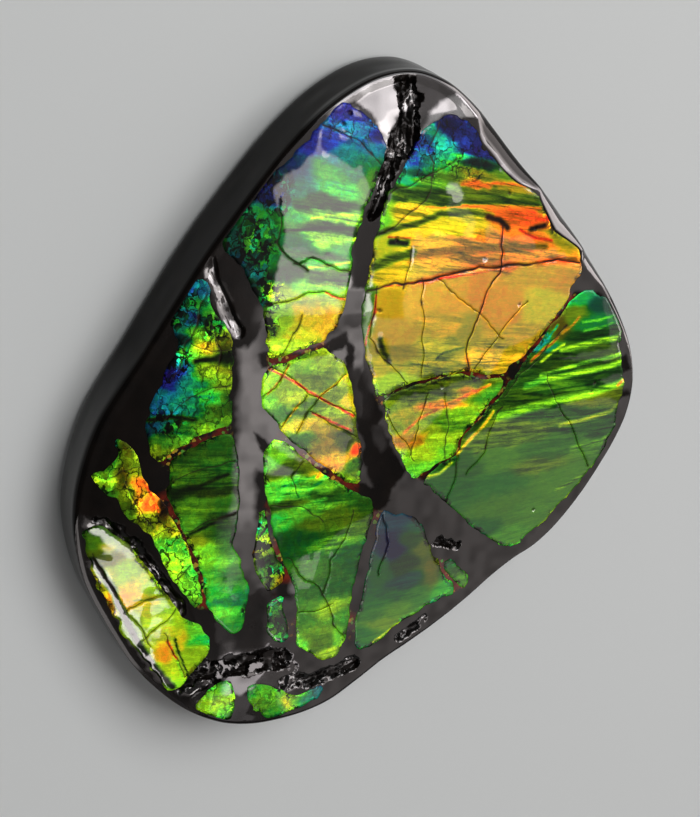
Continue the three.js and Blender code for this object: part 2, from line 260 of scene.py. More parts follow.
def ragged(line, seed, closed=False, rough=0.16, coarse=0.3):
    """The line with the small steps of a natural break."""
    aside = sideways(line, closed)
    wander = coarse * ripple(line[:, 0], line[:, 1], 2.6, seed)
    wander += rough * ripple(line[:, 0], line[:, 1], 0.9, seed + 1)
    if not closed:
        wander *= np.minimum(1, np.arange(len(line)) / 2) * np.minimum(1, np.arange(len(line))[::-1] / 2)
    return line + aside * wander[:, None]


def bed_outline(node, seed):
    """Edge between a plate and its bed: the plate's solid, grown to its ragged edge, up to the
    next plate across a narrow seam, and up to the rim."""
    even = spaced(worn(plate_corners(node)), BED_STEP, closed=True)
    growth_here = np.full(len(even), BED_GROWTH)
    for pair, seam in NARROW.items():
        if node in pair:
            other = worn(plate_corners(pair[1 - pair.index(node)]))
            gap = distance_to(even, other, closed=True)
            wanted = (gap - seam) / 2
            share = np.clip((NARROW_REACH - gap) / 0.9, 0, 1)
            share *= np.clip((NARROW_TOP - even[:, 1]) / 3, 0, 1)
            growth_here = np.maximum(growth_here, wanted * share)
    grown = even + sideways(even, closed=True) * growth_here[:, None]
    bed = ragged(grown, seed, closed=True, rough=0.2, coarse=0.22)
    gap = np.where(within(bed, rim), distance_to(bed, rim, closed=True), 0)
    for k in np.flatnonzero(gap < RIM_REACH):
        nearest = np.argmin(np.hypot(*(rim - bed[k]).T))
        bed[k] = rim[nearest] + inward[nearest] * max(RIM_MARGIN, 2 * gap[k] - RIM_REACH)
    steps = np.hypot(*(np.roll(bed, -1, axis=0) - bed).T)
    bed = bed[steps > 0.08]
    for _ in range(3):
        before, after = bed - np.roll(bed, 1, axis=0), np.roll(bed, -1, axis=0) - bed
        straight = (before * after).sum(1) / (np.hypot(*before.T) * np.hypot(*after.T))
        bed = bed[straight > SHARPEST_BEND]
    return bed


def hex_points(low, high, step, seed):
    """Evenly spread points over a box, shaken a little so that no rows show."""
    xs = np.arange(low[0], high[0], step)
    ys = np.arange(low[1], high[1], step * 0.866)
    grid_x, grid_y = np.meshgrid(xs, ys)
    grid_x[1::2] += step / 2
    points = np.column_stack([grid_x.ravel(), grid_y.ravel()])
    return points + np.random.default_rng(seed).uniform(-0.22, 0.22, points.shape) * step


def triangulated(points, loops, lines=()):
    """Triangles over points, held to closed loops and open lines: the points, the triangles,
    the loops that hold each triangle, and where each given point went."""
    edges, start = [], len(points)
    everything = [points]
    rings = []
    for loop in loops:
        rings.append(list(range(start, start + len(loop))))
        everything.append(loop)
        start += len(loop)
    for line in lines:
        edges += [(i, i + 1) for i in range(start, start + len(line) - 1)]
        everything.append(line)
        start += len(line)
    places = [Vector(p) for p in np.vstack(everything)]
    made = delaunay_2d_cdt(places, edges, rings, 0, 1e-5)
    went = {old: new for new, olds in enumerate(made[3]) for old in olds}
    return np.array([tuple(p) for p in made[0]]), np.array(made[2]), made[5], went


def open_sides(triangles):
    """Sides that only one triangle has, each in that triangle's direction."""
    sides = np.vstack([triangles[:, [0, 1]], triangles[:, [1, 2]], triangles[:, [2, 0]]])
    seen = {tuple(side) for side in sides.tolist()}
    return np.array([side for side in seen if side[::-1] not in seen])


def make_piece(name, points, faces, materials, face_materials=None, body="root"):
    """Mesh object from points in millimetres, smooth except at real edges."""
    mesh = bpy.data.meshes.new(name)
    mesh.from_pydata((np.asarray(points) / METRE).tolist(), [], faces)
    for material in materials:
        mesh.materials.append(material)
    if face_materials is not None:
        mesh.polygons.foreach_set("material_index", face_materials)
    mesh.shade_smooth()
    mesh.set_sharp_from_angle(angle=REAL_EDGE)
    piece = bpy.data.objects.new(name, mesh)
    bpy.context.scene.collection.objects.link(piece)
    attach(piece, body)
    return piece


def store(piece, name, values):
    """Keeps one number for each point of a mesh, for its material."""
    attribute = piece.data.attributes.new(name, "FLOAT", "POINT")
    attribute.data.foreach_set("value", np.asarray(values, np.float32))


def wall_line():
    """The slab's widest outline: the solid's corners at the top of the back's rounding, joined smoothly."""
    places = np.array([v.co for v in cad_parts["matrix"].data.vertices]) * METRE
    ring = np.unique(np.round(places[np.abs(places[:, 2] - BACK_ROUND) < 0.01][:, :2], 3), axis=0)
    turn = np.arctan2(ring[:, 1] - PLAN_CENTRE[1], ring[:, 0] - PLAN_CENTRE[0])
    ring = ring[np.argsort(turn)]
    before, after, later = (np.roll(ring, k, axis=0) for k in (1, -1, -2))
    t = np.linspace(0, 1, 10, endpoint=False)[:, None, None]
    smooth = 0.5 * (2 * ring + (after - before) * t + (2 * before - 5 * ring + 4 * after - later) * t ** 2
                    + (3 * ring - before - 3 * after + later) * t ** 3)
    smooth = smooth.transpose(1, 0, 2).reshape(-1, 2)
    around = np.hypot(*(np.roll(smooth, -1, axis=0) - smooth).T).sum()
    return spaced(smooth, around / WALL_STATIONS, closed=True)


wall = wall_line()
inward = -sideways(wall, closed=True)
bearing = np.degrees(np.arctan2(wall[:, 1] - PLAN_CENTRE[1], wall[:, 0] - PLAN_CENTRE[0]))
scallop = ripple(wall[:, 0], wall[:, 1], 3.4, 7) + 0.6 * ripple(wall[:, 0], wall[:, 1], 1.3, 8)
round_width = np.interp(bearing, *zip(*BEVEL)) * (1 + 0.07 * scallop)
round_depth = BEVEL_FALL[0] + BEVEL_FALL[1] * round_width


def wall_ring(inset, height):
    """One ring round the slab: its points a little inside the wall line."""
    spot = wall + inward * np.broadcast_to(inset, len(wall))[:, None]
    return np.column_stack([spot, height(spot[:, 0], spot[:, 1])])


def below_rim(x, y, share):
    """Height at a share of the way down the rim's round."""
    return under_facet(x, y, dome(x, y) - round_depth * share)


rings = []
for angle in np.radians(np.linspace(0, 90, BACK_ROWS)):
    rings.append(wall_ring(BACK_ROUND * 0.8 * (1 - math.sin(angle)),
                           lambda x, y: 0 * x + BACK_ROUND * (1 - math.cos(angle))))
for share in np.linspace(0, 1, WALL_ROWS)[1:-1]:
    uneven = 0.05 * ripple(np.arange(len(wall)) * 0.5, np.full(len(wall), share * 12), 3.5, 5)
    rings.append(wall_ring(uneven, lambda x, y: BACK_ROUND + (below_rim(x, y, 1) - BACK_ROUND) * share))
for angle in np.radians(np.linspace(0, 90, ROUND_ROWS)):
    rings.append(wall_ring(round_width * (1 - math.cos(angle)),
                           lambda x, y: below_rim(x, y, 1 - math.sin(angle))))
rim = rings[-1][:, :2]

plate_names = sorted(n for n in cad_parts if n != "matrix")
beds = {name: bed_outline(name, 40 + 3 * i) for i, name in enumerate(plate_names)}


def off_broken(points):
    """How far each point is outside the nearest broken stretch."""
    off = np.full(len(points), FAR)
    for line, width, *_ in BROKEN:
        off = np.minimum(off, distance_to(points, spaced(line, 1.0)) - width / 2)
    return off


low, high = rim.min(0), rim.max(0)
seam_points = hex_points(low, high, SEAM_STEP, 11)
fine_points = hex_points(low, high, BROKEN_STEP, 12)
fine_points = fine_points[off_broken(fine_points) < BROKEN_REACH]
seam_points = np.vstack([seam_points[off_broken(seam_points) >= BROKEN_REACH], fine_points])
seam_points = seam_points[within(seam_points, rim)]
seam_points = seam_points[distance_to(seam_points, rim, closed=True) > RIM_GAP]
for bed in beds.values():
    near = ((seam_points > bed.min(0) - 1) & (seam_points < bed.max(0) + 1)).all(1)
    keep = ~near
    some = seam_points[near]
    keep[near] = ~within(some, bed) & (distance_to(some, bed, closed=True) > EDGE_GAP)
    seam_points = seam_points[keep]

plan, triangles, owners, went = triangulated(seam_points, [rim] + list(beds.values()))
owner_count = np.array([len(o) for o in owners])
in_rim = np.array([0 in o for o in owners])
top = triangles[in_rim & (owner_count == 1)]
bed_floors = triangles[owner_count > 1]


def broken_depth(x, y):
    """How far the surface is broken away below the polish, and how much of it is broken."""
    depth, share = np.zeros(len(x)), np.zeros(len(x))
    spots = np.column_stack([x, y])
    for line, width, deep, ridged, coarse in BROKEN:
        edge = distance_to(spots, spaced(line, 1.0)) - width / 2
        edge = edge + ridged * (0.5 * ripple(x, y, 2.3, 21) + 0.3 * ripple(x, y, 0.8, 22))
        here = np.clip(0.5 - edge / 0.3, 0, 1)
        run_x, run_y = np.subtract(line[-1], line[0]) / np.hypot(*np.subtract(line[-1], line[0]))
        down, across = x * run_x + y * run_y, x * run_y - y * run_x
        middle = line[0][0] * run_y - line[0][1] * run_x
        hollow = 0.4 * np.clip(0.5 - (across - middle) / width, 0, 1)
        hollow += 0.1 * ripple(down / 2, across, 1.0, 27)
        ridges = 0.25 + np.abs(ripple(down / (4.2 * coarse), across / (0.9 * coarse), 1.0, 23))
        ridges += 0.4 / coarse ** 2 * np.abs(ripple(down / 1.5, across / 0.4, 1.0, 24))
        ridges += 0.15 / coarse * ripple(x, y, 0.6, 26)
        shards = ripple(x, y, 1.2, 38) + 0.5 * ripple(x, y, 0.45, 39) - 0.04
        ridges -= 5 * (coarse - 1) * np.clip(shards, 0, 1)
        hollow = hollow + ridged * (np.clip(ridges, 0.05, 1) - hollow)
        depth = np.maximum(depth, here * deep * hollow)
        share = np.maximum(share, here)
    return depth, share


# How strong the clear coat is over the face. The stone itself may be evenly polished: these
# windows are drawn so that the bright and dark reflections lie in the right places when
# it is seen from above its upper left edge. For each: the coat's strength in it, how soft its
# edge is and its outline, both in millimetres. A later window lies over an earlier one.
FILM = {
    "whole face": (1.0, 0.35, [(-60, -60), (60, -60), (60, 60), (-60, 60)]),
    "left third": (0, 1.3, [(-21, 13), (-21, 10), (-20.5, 3), (-20.5, -3), (-20.5, -8.5), (-20, -20.5),
                            (-20, -26), (-20, -33), (-19.5, -45.5), (-50, -48), (-52, 22.5), (-26.5, 27),
                            (-24, 12)]),
    "upper left crumbs": (0, 0.4, [(-10, 39.5), (-10.5, 38.5), (-11, 36.5), (-12.5, 35), (-15, 33.5),
                                   (-17, 32), (-16, 30), (-15, 28), (-15, 24), (-16, 21.5), (-16.5, 17.5),
                                   (-17.5, 13.5), (-19.5, 10), (-24, 10.5), (-29, 22), (-20, 36.5),
                                   (-20, 44.5), (-8.5, 42.5)]),
    "blue tip and upper vein": (0.05, 0.35, [(-4, 42), (-6, 43), (-8.5, 42), (-10, 39.5), (-10, 37),
                                             (-8, 35.5), (-6, 34.5), (-4.5, 34.5), (-4, 33), (-3.5, 31),
                                             (-4.5, 29), (-5, 27), (-5.5, 25.5), (-6, 21.5), (-6, 17.5),
                                             (-6.5, 17.5), (-5.5, 18), (-4, 17.5), (-3.5, 17), (-2, 20.5),
                                             (-1.5, 24.5), (-1, 28), (0, 32.5), (2.5, 37), (4.5, 40.5),
                                             (6.5, 42.5), (10, 44), (11, 47), (1.5, 48.5), (1, 45.5),
                                             (0.5, 42.5), (-0.5, 39), (-1.5, 36), (-2, 39), (-3, 41)]),
    "upper reach of the main vein": (0, 0.35, [(-2.5, 29), (-1.5, 28.5), (-2, 24.5), (-2.5, 21), (-3.5, 18),
                                               (-5.5, 18), (-5.5, 21.5), (-5.5, 25), (-4.5, 28)]),
    "glint on the tip": (0.8, 0.2, [(-8, 39.5), (-7, 39.5), (-6, 38.5), (-6.5, 38), (-7.5, 38.5)]),
    "glint over the tip": (0.8, 0.2, [(-6.5, 41.5), (-5.5, 42), (-5, 41), (-6, 41)]),
    "foot of the upper haze": (0.15, 2.5, [(-18, 15.5), (-12.5, 15), (-8.5, 15.5), (-6, 15), (-6.5, 11),
                                           (-12.5, 9.5), (-18, 9.5)]),
    "upper end of the main vein": (0.25, 0.6, [(-7, 17.5), (-5.5, 18), (-3.5, 17.5), (-3, 12.5), (-5, 12),
                                               (-6.5, 12.5)]),
    "upper right": (0, 0.35, [(7.5, 41), (12.5, 40.5), (16, 33.5), (23.5, 28), (31.5, 20), (30, 19),
                              (25.5, 22), (25, 21.5), (22.5, 22), (21.5, 23.5), (17, 24.5), (15, 25.5),
                              (14, 25.5), (14, 23.5), (12, 24), (12.5, 26), (11, 28.5), (8, 28.5),
                              (8.5, 27), (11.5, 26), (10.5, 24), (7, 25.5), (5, 24.5), (3.5, 25.5),
                              (3, 23.5), (3, 17.5), (2.5, 16), (2.5, 13.5), (-1.5, 13.5), (-2.5, 16),
                              (-2, 23), (-1, 28), (0, 32.5), (2.5, 37.5), (5.5, 39.5)]),
    "dark wedge by the top vein": (0.03, 0.8, [(2, 46.5), (4.5, 47), (7.5, 45), (6.5, 43.5), (4.5, 40),
                                               (3, 37.5), (2, 41.5)]),
    "shiny flake": (0.7, 0.35, [(8, 30.5), (8.5, 31.5), (9.5, 31.5), (11, 30), (10.5, 28.5), (8.5, 28.5)]),
    "main vein": (0, 0.35, [(-6, 11.5), (-5, 9.5), (-4, 3.5), (-1, 2.5), (0.5, -0.5), (-0.5, -2), (1.5, -4),
                            (4, -8.5), (3.5, -10), (1.5, -14), (0, -12), (-2, -7), (-3.5, -1.5), (-5, 2),
                            (-6, 6.5)]),
    "gleam in the main vein": (0.12, 1.2, [(-5, 7), (-3, 7), (-1.5, 2), (-1.5, -0.5), (-3.5, 0), (-5, 4.5)]),
    "seam over the wedge": (0, 0.4, [(0, 1.5), (1.5, 3.5), (7, 5), (13, 5.5), (15.5, 5.5), (16, 4),
                                     (8.5, 3), (3, 2), (1, 0.5)]),
    "cloud in the main vein": (0.45, 0.6, [(-1, -2), (0.5, -2.5), (1.5, -5), (0.5, -6), (-1, -4)]),
    "dark chip": (0, 0.35, [(-1.5, 11), (0, 10.5), (1, 8.5), (0, 7), (-1, 9)]),
    "wedge and green bands": (0, 0.35, [(7, -3), (10.5, 0), (15, 2), (18.5, 7.5), (25, 10), (29.5, 15),
                                        (34, 14.5), (36.5, 8.5), (37, 6), (33, 5.5), (28, 5), (35, 4),
                                        (40, 4.5), (41, 1.5), (37.5, 1.5), (35.5, 1), (43.5, -2.5),
                                        (33, -1.5), (26, -2), (18.5, -3), (14, -4.5), (12, -8.5),
                                        (7.5, -10.5), (4, -8.5), (4.5, -4.5)]),
    "lower centre": (0, 0.35, [(-17, -7.5), (-12.5, -8.5), (-8, -7.5), (-3, -9.5), (0.5, -11.5), (0, -14.5),
                               (-4, -16.5), (-8, -20), (-10.5, -21), (-12.5, -18), (-15, -15)]),
    "crumbs in the left seam": (0.4, 0.35, [(-22.5, -26), (-18.5, -26.5), (-18, -33), (-21, -33)]),
    "left chip": (0.35, 0.35, [(-25.5, 22), (-24, 20.5), (-22, 16.5), (-21, 12.5), (-22.5, 13), (-24.5, 16)]),
    "flap": (0.5, 0.5, [(-39, -18), (-34.5, -18.5), (-31.5, -22.5), (-27.5, -28), (-28, -32.5),
                        (-30.5, -33.5), (-39, -20.5)]),
    "flap, dark corner": (0, 0.4, [(-40.5, -16), (-38.5, -16.5), (-37.5, -19), (-38.5, -20.5), (-40, -19.5)]),
    "flap, orange end": (0.05, 0.35, [(-30, -32.5), (-27.5, -32.5), (-25, -37), (-26.5, -37.5), (-29, -36)]),
    "flap, bright edge": (1, 0.3, [(-39.5, -20.5), (-38.5, -20.5), (-36.5, -22.5), (-35.5, -24.5),
                                   (-34, -26.5), (-33, -28.5), (-31.5, -31), (-29.5, -35.5),
                                   (-27.5, -38.5), (-25, -41), (-26, -41.5), (-29, -39.5), (-31, -36),
                                   (-33.5, -32.5), (-35, -29), (-36, -26), (-38, -23.5)]),
    "flap, ledge": (0.9, 0.3, [(-40.5, -14), (-36.5, -15), (-33, -20), (-34, -20), (-36.5, -18.5),
                               (-38.5, -16.5), (-40.5, -15.5)]),
    "seam over the middle": (0, 0.35, [(-18, 9.5), (-12.5, 9.5), (-6, 11.5), (-5.5, 10), (-12, 8),
                                       (-17.5, 7)]),
    "seam under the middle": (0, 0.35, [(-18, -2), (-15, -4), (-11.5, -6.5), (-7, -8), (-1.5, -11),
                                        (2.5, -13), (0.5, -14.5), (-3.5, -13), (-8.5, -10), (-13.5, -7),
                                        (-17, -4.5)]),
    "bottom plates": (0.12, 0.35, [(-24, -40), (-21, -41.5), (-17, -42), (-14, -40.5), (-12, -41.5),
                                   (-10, -46.5), (-17, -48.5), (-24.5, -44.5)]),
    "crumbs beside the left vein": (0, 1, [(-17.5, -7.5), (-16, -7.5), (-13, -15), (-10.5, -20.5),
                                           (-11, -27), (-14.5, -27), (-16.5, -20.5), (-17.5, -13)]),
    "lower part of the left vein": (0.4, 3.5, [(-21.5, -15), (-14.5, -15), (-14.5, -21), (-14.5, -29),
                                               (-20.5, -28.5)]),
    "foot of the left vein": (0.15, 1.2, [(-19, -23), (-17.5, -22.5), (-14.5, -27), (-14.5, -35),
                                          (-18.5, -34.5), (-19.5, -28)]),
}


def film_over(x, y):
    """Strength of the clear coat at each point of the face."""
    bent_x = x + 0.4 * ripple(x, y, 2.3, 31) + 0.25 * ripple(x, y, 0.8, 32)
    bent_y = y + 0.4 * ripple(x, y, 2.3, 33) + 0.25 * ripple(x, y, 0.8, 34)
    spots = np.column_stack([bent_x, bent_y])
    share = np.zeros(len(x))
    for left, softness, window in FILM.values():
        window = np.array(window, float)
        near = ((spots > window.min(0) - softness) & (spots < window.max(0) + softness)).all(1)
        some = spots[near]
        deep = distance_to(some, window, closed=True) * np.where(within(some, window), 1, -1)
        share[near] += (left - share[near]) * np.clip(0.5 + deep / softness, 0, 1)
    return share


depth, broken = broken_depth(plan[:, 0], plan[:, 1])
edge_fade = np.clip(distance_to(plan, rim, closed=True) / 1.2, 0, 1)
plan_height = face(plan[:, 0], plan[:, 1]) - SEAM_SUNK * edge_fade
plan_height -= np.minimum(depth * edge_fade, BED_DEPTH - 0.15)
plan_height += WAVINESS * ripple(plan[:, 0], plan[:, 1], 2.2, 25) * edge_fade

points = [np.column_stack([plan, plan_height])]
faces = top.tolist()
floor_points = np.unique(bed_floors)
below = {int(p): len(plan) + k for k, p in enumerate(floor_points)}
bed_z = face(plan[floor_points, 0], plan[floor_points, 1]) - BED_DEPTH
points.append(np.column_stack([plan[floor_points], bed_z]))
faces += [[below[a], below[b], below[c]] for a, b, c in bed_floors.tolist()]
rim_points = [went[len(seam_points) + k] for k in range(len(rim))]
on_rim = set(rim_points)
for a, b in open_sides(top).tolist():
    if not (a in on_rim and b in on_rim):
        faces.append([b, a, below[a], below[b]])

start = len(plan) + len(floor_points)
count = len(wall)
ring_ids = []
for ring in rings[:-1]:
    ring_ids.append(list(range(start, start + count)))
    points.append(ring)
    start += count
ring_ids.append(rim_points)
for lower, upper in zip(ring_ids, ring_ids[1:]):
    for k in range(count):
        after = (k + 1) % count
        faces.append([lower[k], lower[after], upper[after], upper[k]])
inner = ring_ids[0]
for share in SAWN_RINGS:
    ring = rings[0].copy()
    ring[:, :2] = PLAN_CENTRE + (ring[:, :2] - PLAN_CENTRE) * share
    outer, inner = inner, list(range(start, start + count))
    points.append(ring)
    start += count
    faces += [[outer[(k + 1) % count], outer[k], inner[k], inner[(k + 1) % count]] for k in range(count)]
faces.append(inner[::-1])
points = np.vstack(points)


def add(tree, kind, inputs=(), **settings):
    """Adds a node, sets its settings, and gives its inputs a value or a link from another node."""
    made = tree.nodes.new(kind)
    for name, value in settings.items():
        setattr(made, name, value)
    for socket, value in dict(inputs).items():
        if isinstance(value, bpy.types.NodeSocket):
            tree.links.new(value, made.inputs[socket])
        else:
            made.inputs[socket].default_value = value
    return made


def linear(hex_colour):
    """An sRGB colour such as #2b2523 as Blender's linear colour."""
    parts = [int(hex_colour[i:i + 2], 16) / 255 for i in (1, 3, 5)]
    return [p / 12.92 if p <= 0.04045 else ((p + 0.055) / 1.055) ** 2.4 for p in parts] + [1.0]


def new_material(name):
    """An empty material: its node tree and its shader."""
    material = bpy.data.materials.new(name)
    material.use_nodes = True
    tree = material.node_tree
    tree.nodes.clear()
    shader = tree.nodes.new("ShaderNodeBsdfPrincipled")
    output = tree.nodes.new("ShaderNodeOutputMaterial")
    tree.links.new(shader.outputs["BSDF"], output.inputs["Surface"])
    return material, tree, shader


# Ironstone: fine grained and nearly black brown. Polished, it is a dark mirror; sawn, it is dull;
# broken, it is uneven and keeps some gloss. In the narrow seams it is rusty red, with sparks of
# crushed shell. The clouds in it are about 3 mm across, the rust 1.2, the sparks 0.5, the grain 0.3.
ironstone, tree, shader = new_material("polished ironstone")
place = add(tree, "ShaderNodeTexCoord")
millimetres = add(tree, "ShaderNodeMapping", {"Vector": place.outputs["Object"], "Scale": (METRE,) * 3})
spot = millimetres.outputs[0]
film = add(tree, "ShaderNodeAttribute", attribute_name="film")
polish = add(tree, "ShaderNodeAttribute", attribute_name="polish").outputs["Fac"]
rust = add(tree, "ShaderNodeAttribute", attribute_name="rust").outputs["Fac"]
clouds = add(tree, "ShaderNodeTexNoise", {"Vector": spot, "Scale": 0.35, "Detail": 6.0})
rock = add(tree, "ShaderNodeValToRGB", {"Fac": clouds.outputs["Fac"]})
rock.color_ramp.elements[0].position = 0.3
rock.color_ramp.elements[0].color = linear("#040302")
rock.color_ramp.elements[1].position = 0.75
rock.color_ramp.elements[1].color = linear("#120d0a")
patchy = add(tree, "ShaderNodeTexNoise", {"Vector": spot, "Scale": 0.8, "Detail": 4.0})
rusty = add(tree, "ShaderNodeMapRange", {
    "Value": patchy.outputs["Fac"], "From Min": 0.38, "From Max": 0.62})
rust_share = add(tree, "ShaderNodeMath", {0: rusty.outputs[0], 1: rust}, operation="MULTIPLY")
rusted = add(tree, "ShaderNodeMix", {
    0: rust_share.outputs[0], 6: rock.outputs["Color"], 7: linear("#7c2410")}, data_type="RGBA")
sparks = add(tree, "ShaderNodeTexVoronoi", {"Vector": spot, "Scale": 2.2})
spark_parts = add(tree, "ShaderNodeSeparateColor", {"Color": sparks.outputs["Color"]})
spark_here = add(tree, "ShaderNodeMath", {
    0: spark_parts.outputs["Red"], 1: 0.84}, operation="GREATER_THAN")
spark_share = add(tree, "ShaderNodeMath", {0: spark_here.outputs[0], 1: rust}, operation="MULTIPLY")
spark_colour = add(tree, "ShaderNodeMix", {
    0: spark_parts.outputs["Green"], 6: linear("#3fae3a"), 7: linear("#e0942a")}, data_type="RGBA")
sparked = add(tree, "ShaderNodeMix", {
    0: spark_share.outputs[0], 6: rusted.outputs[2], 7: spark_colour.outputs[2]}, data_type="RGBA")
tree.links.new(sparked.outputs[2], shader.inputs["Base Color"])
rough = add(tree, "ShaderNodeMapRange", {"Value": polish, "To Min": 0.62, "To Max": 0.22})
tree.links.new(rough.outputs[0], shader.inputs["Roughness"])
grain = add(tree, "ShaderNodeTexNoise", {"Vector": spot, "Scale": 3.0, "Detail": 8.0})
unpolished = add(tree, "ShaderNodeMapRange", {"Value": polish, "To Min": 0.5, "To Max": 0.015})
bump = add(tree, "ShaderNodeBump", {
    "Strength": unpolished.outputs[0], "Distance": 0.0004, "Height": grain.outputs["Fac"]})
tree.links.new(bump.outputs[0], shader.inputs["Normal"])
tree.links.new(film.outputs["Fac"], shader.inputs["Coat Weight"])
shader.inputs["Coat Roughness"].default_value = 0.03
shader.inputs["Coat IOR"].default_value = 1.52
shader.inputs["Specular IOR Level"].default_value = 0.04

matrix = make_piece("ironstone_slab", points, faces, [ironstone])
top_count = len(plan)
slab_film = np.zeros(len(points))
clouded = np.clip(0.88 + 0.3 * ripple(plan[:, 0], plan[:, 1], 1.4, 36), 0, 1)
slab_film[:top_count] = film_over(plan[:, 0], plan[:, 1]) * clouded
glassy = np.clip(0.35 + 2.6 * ripple(plan[:, 0], plan[:, 1], 1.2, 38), 0.08, 1)
slab_film[:top_count] += (glassy - slab_film[:top_count]) * broken
ring_start = top_count + len(floor_points)
# The wall's coat is strong from bearing 190 degrees round to 360.
wall_rows = len(rings) - ROUND_ROWS
round_start = ring_start + count * wall_rows
wall_film = 0.12 + 0.75 * np.clip((bearing % 360 - 160) / 30, 0, 1)
slab_film[ring_start:round_start] = np.tile(wall_film, wall_rows)
# Round the rim it is strong from -14 to 98 degrees. In two stretches of that, only the innermost
# rows have it.
upper_facet = np.clip((bearing - 51) / 2, 0, 1) * np.clip((70 - bearing) / 2, 0, 1)
side_facet = np.clip((24 - bearing) / 3, 0, 1) * np.clip((bearing - 3) / 3, 0, 1)
facing = 0.15 + 0.85 * np.clip((bearing + 20) / 6, 0, 1) * np.clip((104 - bearing) / 6, 0, 1)
for row in range(ROUND_ROWS - 1):
    outer = np.clip((6.2 + 0.8 * upper_facet - row + 0.2 * scallop) / 0.8, 0, 1)
    first = round_start + row * count
    slab_film[first:first + count] = facing * (1 - 0.85 * outer * np.maximum(upper_facet, side_facet))
nearest, second = np.full(len(plan), FAR), np.full(len(plan), FAR)
for bed in beds.values():
    near = ((plan > bed.min(0) - 2) & (plan < bed.max(0) + 2)).all(1)
    off = distance_to(plan[near], bed, closed=True)
    second[near] = np.minimum(second[near], np.maximum(nearest[near], off))
    nearest[near] = np.minimum(nearest[near], off)
slab_rust = np.zeros(len(points))
rust_patches = np.clip(0.75 + ripple(plan[:, 0], plan[:, 1], 3.0, 37), 0, 1)
slab_rust[:top_count] = np.clip(2.0 - (nearest + second) / RUSTY_SEAM, 0, 1) * rust_patches
slab_polish = np.ones(len(points))
slab_polish[:top_count] = 1 - 0.2 * broken
slab_polish[ring_start + count * (len(rings) - 1):] = 0
store(matrix, "rust", slab_rust)
store(matrix, "film", slab_film)
store(matrix, "polish", slab_polish)
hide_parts("matrix")


# ---- Shell plates of the middle column ----
# Plates of the ammonite's own shell: nacre, here a millimetre thick, whose aragonite layers split
# light into spectral colours. They broke as the shell was crushed and lie flush in the ironstone.
SHELL = 1.0
PLATE_CLEARANCE = 0.03
PLATE_STEP = 0.24
CRACK_DEPTH = 0.06
CRACK_RUN_OUT = 0.8                       # a crack runs on this far past its last bend
PITS = [(14.3, 20.9), (17.7, 29.8), (20.4, 13.9), (26.3, -17.6), (0.8, 24.3), (22.2, 24.5), (-7.2, 40.1),
        (-6.3, 41.5), (12.3, -17.8), (34.2, -0.5), (34.6, 0.8), (-1.2, 14.6), (8.9, 3.1)]
PIT_RADIUS, PIT_DEPTH = 0.3, 0.12         # small round pits in the polished face
GROWTH_CENTRE = (195.3, -9.4)             # where the growth lines of the shell would meet
GROWTH_REACH = 190.0


def growth(x, y):
    """Distance across the growth lines and along them."""
    away_x, away_y = GROWTH_CENTRE[0] - x, y - GROWTH_CENTRE[1]
    return np.arctan2(away_y, away_x) * GROWTH_REACH, GROWTH_REACH - np.hypot(away_x, away_y)


def painted(x, y, patches, bands, seed):
    """Hue, glow and streakiness at each point: patches of colour drawn out along the growth lines,
    and bands laid over them, all with torn edges."""
    bent_x = x + 0.45 * ripple(x, y, 2.6, seed) + 0.25 * ripple(x, y, 0.9, seed + 1)
    bent_y = y + 0.45 * ripple(x, y, 2.6, seed + 2) + 0.25 * ripple(x, y, 0.9, seed + 3)
    across, along = growth(bent_x, bent_y)
    total, hue, glow, streaky = np.full(len(x), 1e-12), np.zeros(len(x)), np.zeros(len(x)), np.zeros(len(x))
    for patch_x, patch_y, patch_hue, patch_glow, *size in patches:
        long, wide = size or (2.2, 1.0)
        s, r = growth(patch_x, patch_y)
        weight = 1 / (1 + ((across - s) / wide) ** 2 + ((along - r) / long) ** 2) ** 4 / (long * wide)
        total += weight
        hue += weight * patch_hue
        glow += weight * patch_glow
        streaky += weight * min(1.0, (long / wide - 1) / 4)
    hue, glow, streaky = hue / total, glow / total, streaky / total
    spots = np.column_stack([x + 0.25 * (bent_x - x), y + 0.25 * (bent_y - y)])
    for band_hue, band_glow, width, line in bands:
        share = np.clip(1.5 - distance_to(spots, line) / (0.5 * width), 0, 1)
        hue += share * (band_hue - hue)
        glow += share * (band_glow - glow)
        streaky += share * (1 - streaky)
    return hue, glow, streaky


# Nacre as the fossil keeps it: red where its layers are thick, through green to blue where they
# are thin. Streaked along the growth lines, crazed into crumbs where it was crushed, and glossy.
# Streaks are about 0.7 mm wide and 6 mm long, fibres 0.3 by 1.2 and wrinkles 0.8 by 2.4.
nacre, tree, shader = new_material("polished ammolite shell")
lines = add(tree, "ShaderNodeAttribute", attribute_name="growth").outputs["Vector"]
hue = add(tree, "ShaderNodeAttribute", attribute_name="hue").outputs["Fac"]
glow = add(tree, "ShaderNodeAttribute", attribute_name="glow").outputs["Fac"]
cracks_and_pit_shade = add(tree, "ShaderNodeAttribute", attribute_name="cracks_and_pit_shade").outputs["Fac"]
crumble = add(tree, "ShaderNodeAttribute", attribute_name="crumble").outputs["Fac"]
streaky = add(tree, "ShaderNodeAttribute", attribute_name="streaky").outputs["Fac"]
film = add(tree, "ShaderNodeAttribute", attribute_name="film")
streak_place = add(tree, "ShaderNodeMapping", {"Vector": lines, "Scale": (1.5, 0.16, 1.0)})
streaks = add(tree, "ShaderNodeTexNoise", {
    "Vector": streak_place.outputs[0], "Scale": 1.0, "Detail": 4.0, "Roughness": 0.62, "Distortion": 0.5})
fibre_place = add(tree, "ShaderNodeMapping", {"Vector": lines, "Scale": (3.4, 0.8, 1.0)})
fibres = add(tree, "ShaderNodeTexNoise", {
    "Vector": fibre_place.outputs[0], "Scale": 1.0, "Detail": 4.0, "Distortion": 1.2})
